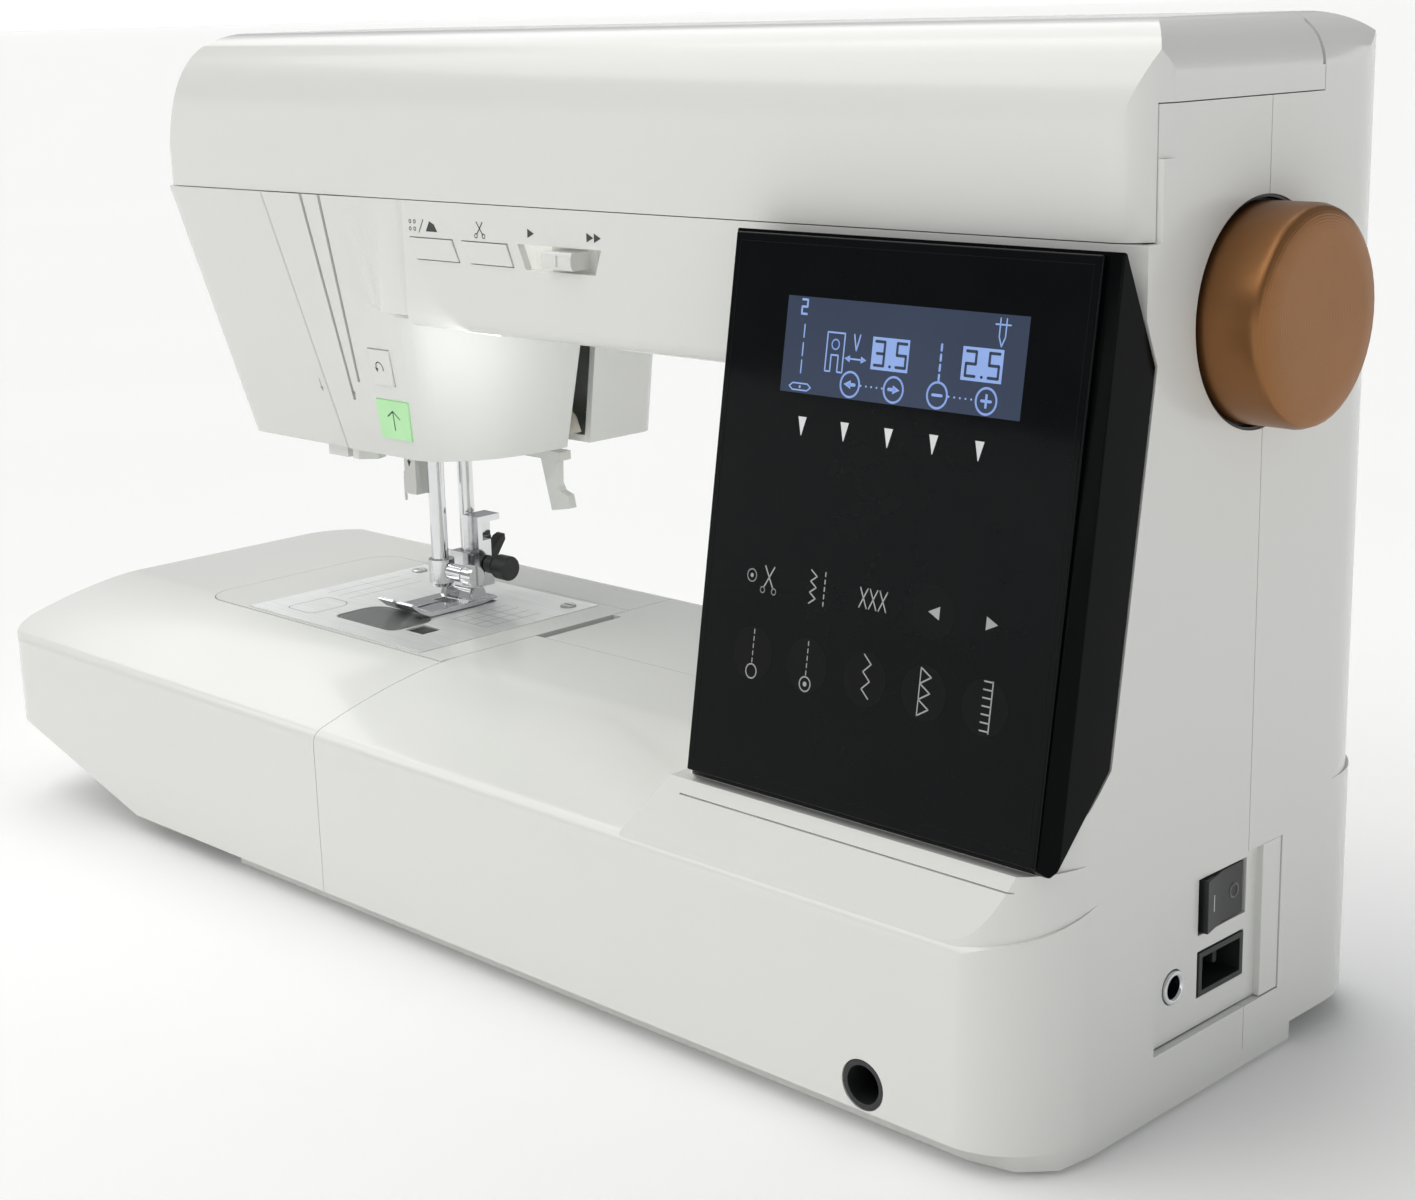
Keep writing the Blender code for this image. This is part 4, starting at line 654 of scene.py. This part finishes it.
def lid_cover():
    left = LID_LEFT

    def solid(inset):
        low = GROOVE if inset == 0 else GROOVE - 10
        side = [(ARM_FRONT + inset, low)]
        for k in range(15):
            t = math.pi / 2 * k / 14
            y = -18 - (23.3 - inset) * max(math.cos(t), 0) ** 0.83
            side.append((y, 262 + (TOP - 262 - inset) * math.sin(t) ** 0.83))
        side[-1] = (-18, TOP - inset)
        back = LID_BACK - (0 if inset == 0 else -8)
        shape = prism("X", side + [(back, TOP - inset), (back, low)], left, RIGHT - inset)
        rise = [(left, 243), (left + 6, 262), (left + 12, 281), (left + 17, 289.5), (left + 25, TOP)]
        ends = [(left + inset, low)] + [(x + inset, z - inset * (z > 290)) for x, z in curve(rise, 4)]
        ends += arc(RIGHT - 14, TOP - 14, 14 - inset, 90, 0, 11) + [(RIGHT - inset, low)]
        plan = rounded(left, RIGHT - inset, ARM_FRONT + inset, back, (6, 12 - inset, 0, 0), 11)
        return keep(shape, prism("Y", ends, -70, 60), prism("Z", plan, 200, 320))

    lid = cut(solid(0), solid(LID_THICK))
    cut(lid, box(RIGHT - 10, RIGHT + 5, -35.7, 60, GROOVE - 5, LID_SIDE))
    edge = prism("X", [(LID_AXIS[0], 280), (60, 280), (60, 300), (LID_AXIS[0], 300)], -300, 300)
    cut(lid, cut(edge, cylinder("X", LID_AXIS, LID_THICK / 2, -310, 310, 24)))
    for x in KNUCKLES:
        cut(lid, box(x - 3, x + 3, LID_AXIS[0] - 1.6, 45, 288, 300))
    return lid


def table_cover():
    radii = (16, 0, 0, 28)

    def solid(inset):
        low = BODY_BOTTOM if inset == 0 else -5.0
        right = SEAM_X - GAP / 2 + (0 if inset == 0 else -inset)
        slab = prism("X", bed_profile(inset, low), TABLE_LEFT + inset, right)
        plan_radii = [max(r - inset, 0) for r in radii]
        plan = rounded(TABLE_LEFT + inset, right, FRONT + inset, BACK - inset, plan_radii)
        return keep(slab, prism("Z", plan, -10, 100))

    x0, x1, y0, y1, _, _ = edges("free_arm")
    table = cut(solid(0), solid(WALL))
    walls = box(x0 - GAP - WALL, x1 + 0.3, y0 - GAP - WALL, y1 + GAP + WALL, BODY_BOTTOM, BED_TOP - 1)
    join(table, keep(walls, box(-290, SEAM_X - GAP / 2, -120, 120, BODY_BOTTOM, 100)))
    opening = rounded(x0 - GAP, 0, y0 - GAP, y1 + GAP, (12 + GAP, 0, 0, 12 + GAP), 12)
    cut(table, prism("Z", opening, 0, 100))
    under = [(-300, 0), (-174.5, 0), (-174.5, BODY_BOTTOM), (-250, 28.5), (-300, 34)]
    return cut(table, prism("Y", under, -120, 120))


piece(front_cover(), "front_cover", "body", white, "front_shell")
piece(rear_cover(), "rear_cover", "body", white, "rear_shell")
piece(side_cover(), "side_cover", "body", white, "face_cover", width=0.6)
piece(nose_cover(), "nose_cover", "body", white, "head_cover", width=0.5)
piece(lid_cover(), "lid_cover", "lid", white, "top_lid", width=0.8)
piece(table_cover(), "table_cover", "table", white, "extension_table")


# ---------------------------------------------------------------- CAD pieces that are shown as they are


PLAIN = {
    "base_tray": white, "foot_front_left": rubber, "foot_front_right": rubber, "foot_rear_left": rubber,
    "foot_rear_right": rubber, "free_arm": white, "top_deck": deck, "carry_handle": white,
    "needle_plate": plate_look, "bobbin_cover": clear, "cover_release": black, "feed_dog": steel,
    "hook_race": steel, "bobbin_case": black, "bobbin": beige, "needle_bar": chrome,
    "clamp_screw": chrome, "needle": chrome, "presser_bar": chrome, "foot_ankle": chrome,
    "ankle_screw": black, "foot_sole": chrome, "foot_release": black, "presser_lever": beige,
    "needle_threader": white, "buttonhole_lever": white, "thread_cutter": white,
    "take_up_lever": chrome, "tension_unit": chrome, "main_shaft": steel, "handwheel": copper,
    "lower_shaft": steel, "timing_belt": rubber, "motor": black, "motor_pulley": steel,
    "motor_belt": rubber, "cast_frame": cast, "led_lamp": lamp, "spool_pin": deck,
    "winder_spindle": deck, "panel_housing": black_gloss, "panel_glass": smoke, "lcd_module": screen,
    "main_board": board, "start_stop_button": green, "reverse_button": white, "needle_button": white,
    "cutter_button": white, "speed_slider": white, "rocker_switch": black, "socket_panel": white,
    "power_inlet": black, "pedal_jack": chrome, "knee_socket": black,
}
BEVELS = {
    "carry_handle": 0.8, "handwheel": 0.3, "panel_housing": 0.5, "panel_glass": 0.5, "bobbin_cover": 0.15,
}

for name, look in PLAIN.items():
    node = NODES[name]
    node.data.materials.clear()
    node.data.materials.append(look)
    for face in node.data.polygons:
        face.material_index = 0
        face.use_smooth = True
    weld = node.modifiers.new("weld", "WELD")
    weld.merge_threshold = 1e-5
    flat = node.modifiers.new("flat", "DECIMATE")
    flat.decimate_type = "DISSOLVE"
    flat.angle_limit = math.radians(1)
    fine_edges(node, BEVELS.get(name, 0.2), 2, 36)


# ---------------------------------------------------------------- details


class Ink:
    """Thin marks on a face: outlines in the face's own two directions, placed by a function."""

    def __init__(self, place_on):
        self.place_on = place_on
        self.shapes = []

    def fill(self, points):
        self.shapes.append(points)

    def disc(self, x, z, radius, steps=28):
        self.fill([(x + a, z + b) for a, b in arc(0, 0, radius, 0, 360 - 360 / steps, steps - 1)])

    def line(self, points, width=0.45, closed=False):
        ends = points + [points[0]] if closed else points
        for (ax, az), (bx, bz) in zip(ends, ends[1:]):
            length = math.hypot(bx - ax, bz - az) or 1
            nx, nz = -(bz - az) / length * width / 2, (bx - ax) / length * width / 2
            self.fill([(ax + nx, az + nz), (ax - nx, az - nz), (bx - nx, bz - nz), (bx + nx, bz + nz)])
        if width > 0.3:
            for x, z in points:
                self.disc(x, z, width / 2, 10)

    def ring(self, x, z, radius, width=0.45):
        self.line([(x + a, z + b) for a, b in arc(0, 0, radius, 0, 345, 23)], width, True)

    def arrow(self, x, z, size, turn):
        """A filled triangle pointing along turn, in degrees."""
        points = []
        for angle in (0, 130, 230):
            a = math.radians(turn + angle)
            points.append((x + size * math.cos(a), z + size * math.sin(a)))
        self.fill(points)

    def number(self, text, x, z, height, width=0.4):
        """Digits of straight strokes, from their lower left corner."""
        paths = {
            "2": [[(0, 2), (1, 2), (1, 1), (0, 1), (0, 0), (1, 0)]],
            "3": [[(0, 2), (1, 2), (1, 0), (0, 0)], [(0.2, 1), (1, 1)]],
            "5": [[(1, 2), (0, 2), (0, 1), (1, 1), (1, 0), (0, 0)]],
            ".": [[(0, 0), (0.05, 0)]],
        }
        scale = height / 2
        for letter in text:
            for path in paths[letter]:
                self.line([(x + a * scale, z + b * scale) for a, b in path], width)
            x += scale * (0.7 if letter == "." else 1.7)

    def build(self, name, body_name, look):
        bm = bmesh.new()
        for shape in self.shapes:
            corners = [bm.verts.new(Vector(self.place_on(a, b)) * MM) for a, b in shape]
            bm.faces.new(corners)
        obj = to_object(bm, name)
        obj.name = name
        obj.data.materials.append(look)
        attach(obj, body_name)
        return obj


def on_panel(out):
    """Places a mark this far in front of the panel's leaning face."""
    return lambda x, z: (x, *panel_point(z, -out))


def on_arm(out):
    return lambda x, z: (x, ARM_FRONT - out, z)


def on_head(out):
    normal = Vector((0, -1, -LEAN)).normalized()
    return lambda x, z: tuple(Vector((x, lean_y(z), z)) + normal * out)


def panel_slab(x0, x1, z0, z1, near, far):
    """A plate parallel to the panel's face, from near to far behind it."""
    points = []
    for x in (x0, x1):
        for z in (z0, z1):
            for behind in (near, far):
                points.append((x, *panel_point(z, behind)))
    return hull(points)


lcd = edges("lcd_module")
LX0, LX1, LZ0, LZ1 = lcd[0] + 4.6, lcd[1] - 4.6, 196.6, 222.3
piece(panel_slab(LX0, LX1, LZ0, LZ1, -0.12, 0.3), "lcd_face", "body", screen, width=0)

rim = Ink(on_panel(0.05))
rim.line([(PANEL_LEFT + 5.6, 91), (RIGHT - 5.8, 91), (RIGHT - 5.8, 236), (PANEL_LEFT + 5.6, 236)], 0.25, True)
rim.build("panel_border", "body", faint)

LW, LH = LX1 - LX0, LZ1 - LZ0


def at(u, v):
    """A point of the display from its shares of the width and, downwards, of the height."""
    return (LX0 + LW * u, LZ1 - LH * v)


def run(points):
    return [at(u, v) for u, v in points]


# The display's signs, from left to right: stitch number and form, foot, width, length, needle
cells = Ink(on_panel(0.18))
cells.number("2", *at(0.065, 0.18), 3.8, 0.6)
for v in (0.29, 0.48, 0.66):
    cells.line(run([(0.085, v), (0.085, v + 0.13)]), 0.45)
buttonhole = [(0.055, 0.9), (0.12, 0.9), (0.135, 0.935), (0.12, 0.97), (0.055, 0.97), (0.04, 0.935)]
cells.line(run(buttonhole), 0.4, True)
cells.disc(*at(0.0875, 0.935), 0.4, 12)
cells.line(run([(0.19, 0.74), (0.19, 0.34), (0.265, 0.34), (0.265, 0.74)]), 0.45)
toes = [(0.19, 0.74), (0.212, 0.74), (0.212, 0.57), (0.243, 0.57), (0.243, 0.74), (0.265, 0.74)]
cells.line(run(toes), 0.45)
cells.ring(*at(0.2275, 0.46), 1.3, 0.4)
cells.line(run([(0.305, 0.34), (0.318, 0.5), (0.331, 0.34)]), 0.45)
cells.line(run([(0.28, 0.59), (0.356, 0.59)]), 0.45)
cells.arrow(*at(0.285, 0.59), 1.2, 180)
cells.arrow(*at(0.351, 0.59), 1.2, 0)
for v in (0.35, 0.45, 0.55, 0.65):
    cells.line(run([(0.67, v), (0.67, v + 0.055)]), 0.7)
for u in (0.305, 0.49, 0.67, 0.865):
    cells.ring(*at(u, 0.85), 3.3, 0.6)
for left in (0.352, 0.717):
    for k in range(5):
        cells.disc(*at(left + 0.0225 * k, 0.85), 0.3, 8)
for u, sign in ((0.305, -1), (0.49, 1)):
    x, z = at(u, 0.85)
    cells.arrow(x + 0.7 * sign, z, 1.5, 90 - 90 * sign)
    cells.line([(x - 1.6 * sign, z), (x + 0.4 * sign, z)], 0.9)
for u in (0.67, 0.865):
    x, z = at(u, 0.85)
    cells.line([(x - 1.5, z), (x + 1.5, z)], 0.75)
x, z = at(0.865, 0.85)
cells.line([(x, z - 1.5), (x, z + 1.5)], 0.75)
cells.line(run([(0.872, 0.1), (0.93, 0.1)]), 0.4)
for u in (0.889, 0.913):
    cells.line(run([(u, 0.04), (u, 0.22)]), 0.4)
cells.line(run([(0.889, 0.22), (0.901, 0.31), (0.913, 0.22)]), 0.4)
for u0, u1 in ((0.385, 0.54), (0.755, 0.915)):
    cells.fill(run([(u0, 0.34), (u1, 0.34), (u1, 0.67), (u0, 0.67)]))
cells.build("lcd_marks", "body", pale)

digits = Ink(on_panel(0.24))
digits.number("3.5", *at(0.4, 0.625), 6.2, 0.75)
digits.number("2.5", *at(0.772, 0.625), 6.2, 0.75)
digits.build("lcd_digits", "body", screen)

keys = Ink(on_panel(0.06))
for x in (150.6, 165.9, 181.3, 196.6, 211.7):
    keys.fill([(x - 1.5, 190.4), (x + 1.5, 190.4), (x + 0.1, 185.4), (x - 0.1, 185.4)])
keys.build("panel_arrows", "body", ink)

KEY_COLUMNS = (140.6, 160.9, 181.8, 202.1, 222.3)
KEY_ROW = 145.6  # middle of the upper row of keys
PAD_ROW = 124.5  # middle of the lower row
STITCH_TOP = 131.0  # upper end of the stitch signs in the lower row

icons = Ink(on_panel(0.06))
# Upper row: tack and scissors, width and length, tension, back and forward
icons.ring(137.6, KEY_ROW, 1.7, 0.35)
icons.disc(137.6, KEY_ROW, 0.6, 12)
icons.line([(142.4, 143.0), (145.8, 148.8)], 0.45)
icons.line([(145.8, 143.0), (142.4, 148.8)], 0.45)
icons.ring(142.0, 142.2, 0.8, 0.35)
icons.ring(146.2, 142.2, 0.8, 0.35)
icons.line([(159.4 + 2.2 * (k % 2), 150.2 - 1.5 * k) for k in range(7)], 0.4)
for k in range(5):
    icons.line([(164.6, 150.2 - 2.0 * k), (164.6, 149.2 - 2.0 * k)], 0.4)
for x in (178.6, 182.0, 185.4):
    icons.line([(x - 1.3, 143.0), (x + 1.3, 148.2)], 0.4)
    icons.line([(x - 1.3, 148.2), (x + 1.3, 143.0)], 0.4)
icons.arrow(203.2, KEY_ROW, 2.3, 180)
icons.arrow(221.4, KEY_ROW, 2.3, 0)
# Lower row: two straight stitches, zig-zag, a closed stitch and an edge stitch
for x in KEY_COLUMNS[:2]:
    for k in range(5):
        icons.line([(x, STITCH_TOP - 2.0 * k), (x, 129.9 - 2.0 * k)], 0.35)
    icons.line([(x + a, 119.4 + b) for a, b in arc(0, 0, 2.0, 0, 330, 12)], 0.4, True)
icons.disc(KEY_COLUMNS[1], 119.4, 0.7, 12)
icons.line([(181.0 + 2.6 * (k % 2), STITCH_TOP - 2.3 * k) for k in range(6)], 0.4)
for k in range(3):
    top = STITCH_TOP - 4.2 * k
    icons.line([(200.6, top), (204.2, top - 2.1), (200.6, top - 4.2)], 0.4)
icons.line([(200.6, STITCH_TOP), (200.6, 118.4)], 0.35)
icons.line([(224.2, 131.4), (224.2, 118.2)], 0.4)
for k in range(7):
    icons.line([(221.4, 131.2 - 2.1 * k), (224.2, 131.2 - 2.1 * k)], 0.4)
icons.build("panel_marks", "body", icon_grey)

pads = Ink(on_panel(0.03))
for x in KEY_COLUMNS:
    pads.disc(x, PAD_ROW, 7.4, 48)
pads.disc(202.6, KEY_ROW, 7.0, 48)
pads.build("key_pads", "body", faint)

# Signs over the buttons: four dots and a needle, scissors, and the slider's slow and fast ends
marks = Ink(on_arm(0.06))
SIGN_ROW = 231.4
for x in (-45.6, -43.2):
    for z in (230.2, 232.6):
        marks.ring(x, z, 0.55, 0.3)
marks.line([(-41.0, 229.2), (-38.6, 233.4)], 0.35)
marks.fill([(-37.4, 229.6), (-31.4, 229.6), (-33.0, 232.0), (-35.4, 233.0)])
marks.line([(-11.2, 229.8), (-8.2, 233.8)], 0.4)
marks.line([(-8.2, 229.8), (-11.2, 233.8)], 0.4)
marks.ring(-11.6, 229.4, 0.7, 0.3)
marks.ring(-7.8, 229.4, 0.7, 0.3)
for x in (15.0, 42.6, 46.0):
    marks.arrow(x, SIGN_ROW, 1.9, 0)
marks.build("arm_marks", "body", dark_mark)

# Floor, upper, lower and left side of the hollow round the slider, behind the cover; the glow of its white is
# painted light that lifts the shade there
speed = edges("speed_slider")
guide = box(7, 50, speed[3] + 0.4, speed[3] + 1.6, 217, 231)
for x0, x1, z0, z1 in ((7, 50, 229.6, 231), (7, 50, 217, 218), (7, 8.5, 217.5, 230)):
    join(guide, box(x0, x1, ARM_FRONT + WALL + 0.2, speed[3] + 0.6, z0, z1))
piece(guide, "speed_guide", "body", hollow_painted_light, width=0)
ridge = box(29.4, 30.6, speed[2] - 0.45, speed[2] + 0.5, 222.0, 225.6)
piece(ridge, "speed_ridge", "speed", white, width=0.2)

guides = Ink(on_head(0.06))
for x in (-133.6, -113.9):
    guides.arrow(x, 165.2, 1.2, 270)
    guides.line([(x, 165.6), (x, 169.0)], 0.4)
guides.build("thread_arrows", "body", grey)

start = Ink(on_head(0.76))
start.line([(-94.6, 153.4), (-92.6, 160.8)], 0.5)
start.line([(-96.4, 158.6), (-92.6, 160.8), (-90.0, 158.0)], 0.5)
start.build("start_mark", "start_stop", dark_green)

back_mark = Ink(on_head(0.76))
back_mark.line([(x, z) for x, z in arc(-91.6, 177.6, 1.9, -40, 180, 10)], 0.4)
back_mark.arrow(-93.6, 176.6, 1.1, 260)
back_mark.build("reverse_mark", "reverse", dark_mark)

plate = edges("needle_plate")
PLATE_TOP = plate[5]
# Seam guides right and left of the needle, and the outline of the cover's corner
lines = Ink(lambda x, y: (x, y, PLATE_TOP + 0.03))
for x in (-97.0, -90.6, -84.2, -77.8):
    lines.line([(x, 8), (x, plate[3] - 22)], 0.3)
for y in (8, 14, 20, 26):
    lines.line([(-97.0, y), (-77.8, y)], 0.25)
for x in (-168.0, -161.0, -154.0):
    lines.line([(x, 2), (x, 38)], 0.3)
lines.line(rounded(-162.5, -146.0, -22.0, -2.0, (3, 3, 6, 3), 6), 0.4, True)
lines.build("plate_lines", "body", grey)


def socket_head(x, y, name):
    top = PLATE_TOP + 0.8
    profile = [(0, PLATE_TOP), (3.1, PLATE_TOP), (3.1, PLATE_TOP + 0.5), (2.6, top), (0, top)]
    screw = turned("Z", (x, y), profile, 40)
    cut(screw, box(x - 3.5, x + 3.5, y - 0.45, y + 0.45, PLATE_TOP + 0.3, PLATE_TOP + 2))
    return piece(screw, name, "body", steel, width=0.08)


socket_head(-168.5, 48.5, "plate_screw_left")
socket_head(-77.0, 48.5, "plate_screw_right")

well_in, well_out = WHEEL_R + 0.9, WHEEL_R + 1.6
well_profile = [(well_in, RIGHT - 0.5), (well_out, RIGHT - 0.5), (well_out, RIGHT - 4.6)]
well_profile += [(8, RIGHT - 4.6), (8, RIGHT - 4.0), (well_in, RIGHT - 4.0)]
well = turned("X", SHAFT, well_profile, 96, ring=True)
piece(well, "wheel_well", "body", black, width=0)

rocker = edges("rocker_switch")


def on_rocker(y, z):
    middle = (rocker[2] + rocker[3]) / 2
    if y < middle:
        return (246.2 - 2.3 * (y - rocker[2]) / (middle - rocker[2]) + 0.06, y, z)
    return (243.97, y, z)


switch = Ink(on_rocker)
zc = (rocker[4] + rocker[5]) / 2
switch.line([(rocker[2] + 4.4, zc - 2.2), (rocker[2] + 4.4, zc + 2.2)], 0.6)
switch.ring(rocker[3] - 4.6, zc, 2.0, 0.5)
switch.build("rocker_marks", "power", ink)

threader = edges("needle_threader")
tip = Ink(lambda x, z: (x, threader[2] - 0.05, z))
tx = threader[0] + 6.6
tip.arrow(tx, 133, 1.5, 270)
tip.line([(tx, 134), (tx, 138)], 0.5)
tip.build("threader_mark", "threader", black)


# ---------------------------------------------------------------- stage, light, camera


floor_look = surface("stage_floor", (0.97, 0.97, 0.965), (0.955, 0.955, 0.95), 0.9, scale=3)
glow(floor_look, (1, 1, 1), 0.06)
bpy.ops.mesh.primitive_plane_add(size=400, location=(0, 0, -0.0005))
floor = bpy.context.object
floor.name = "stage_floor"
floor.data.materials.append(floor_look)
wall_look = glow(surface("stage_wall", (0.9, 0.9, 0.9), (0.88, 0.88, 0.88), 0.9, scale=1), (1, 1, 1), 0.46)
bpy.ops.mesh.primitive_cylinder_add(
    vertices=96, radius=85, depth=12, end_fill_type="NOTHING", location=(0, 0, 2)
)
wall = bpy.context.object
wall.name = "stage_wall"
wall.data.materials.append(wall_look)

world = bpy.data.worlds.new("studio")
bpy.context.scene.world = world
world.use_nodes = True
world.node_tree.nodes["Background"].inputs["Color"].default_value = (0.96, 0.98, 1.0, 1)
world.node_tree.nodes["Background"].inputs["Strength"].default_value = 0.32


def sun(name, towards, strength, spread, color=(1, 1, 1)):
    light = bpy.data.lights.new(name, "SUN")
    light.energy = strength
    light.angle = math.radians(spread)
    light.color = color
    obj = bpy.data.objects.new(name, light)
    bpy.context.scene.collection.objects.link(obj)
    obj.rotation_euler = Vector(towards).to_track_quat("Z", "Y").to_euler()
    return obj


sun("key", (-0.42, -0.42, 0.80), 1.5, 60, (1.0, 0.985, 0.96))
sun("top", (-0.55, 0.35, 0.76), 0.9, 50)
glow_light = bpy.data.lights.new("work_light", "AREA")
glow_light.shape = "RECTANGLE"
glow_light.size = 0.05
glow_light.size_y = 0.02
glow_light.energy = 0.03
glow_light.color = (0.94, 0.97, 1.0)
work_light = bpy.data.objects.new("work_light", glow_light)
bpy.context.scene.collection.objects.link(work_light)
work_light.location = (-0.012, -0.034, ARM_BOTTOM * MM - 0.006)
work_light.rotation_euler = Vector((0.62, 0.05, 0.78)).to_track_quat("Z", "Y").to_euler()

camera_data = bpy.data.cameras.new("camera")
camera_data.lens = 59.31
camera_data.sensor_width = 36
camera_data.clip_end = 1000
camera = bpy.data.objects.new("camera", camera_data)
bpy.context.scene.collection.objects.link(camera)
camera.matrix_world = Matrix((
    (0.70823, -0.15655, 0.68840, 0.5761),
    (0.70546, 0.19412, -0.68164, -0.5230),
    (-0.02692, 0.96840, 0.24793, 0.2999),
    (0, 0, 0, 1),
))
bpy.context.scene.camera = camera
bpy.context.scene.view_settings.view_transform = "Standard"
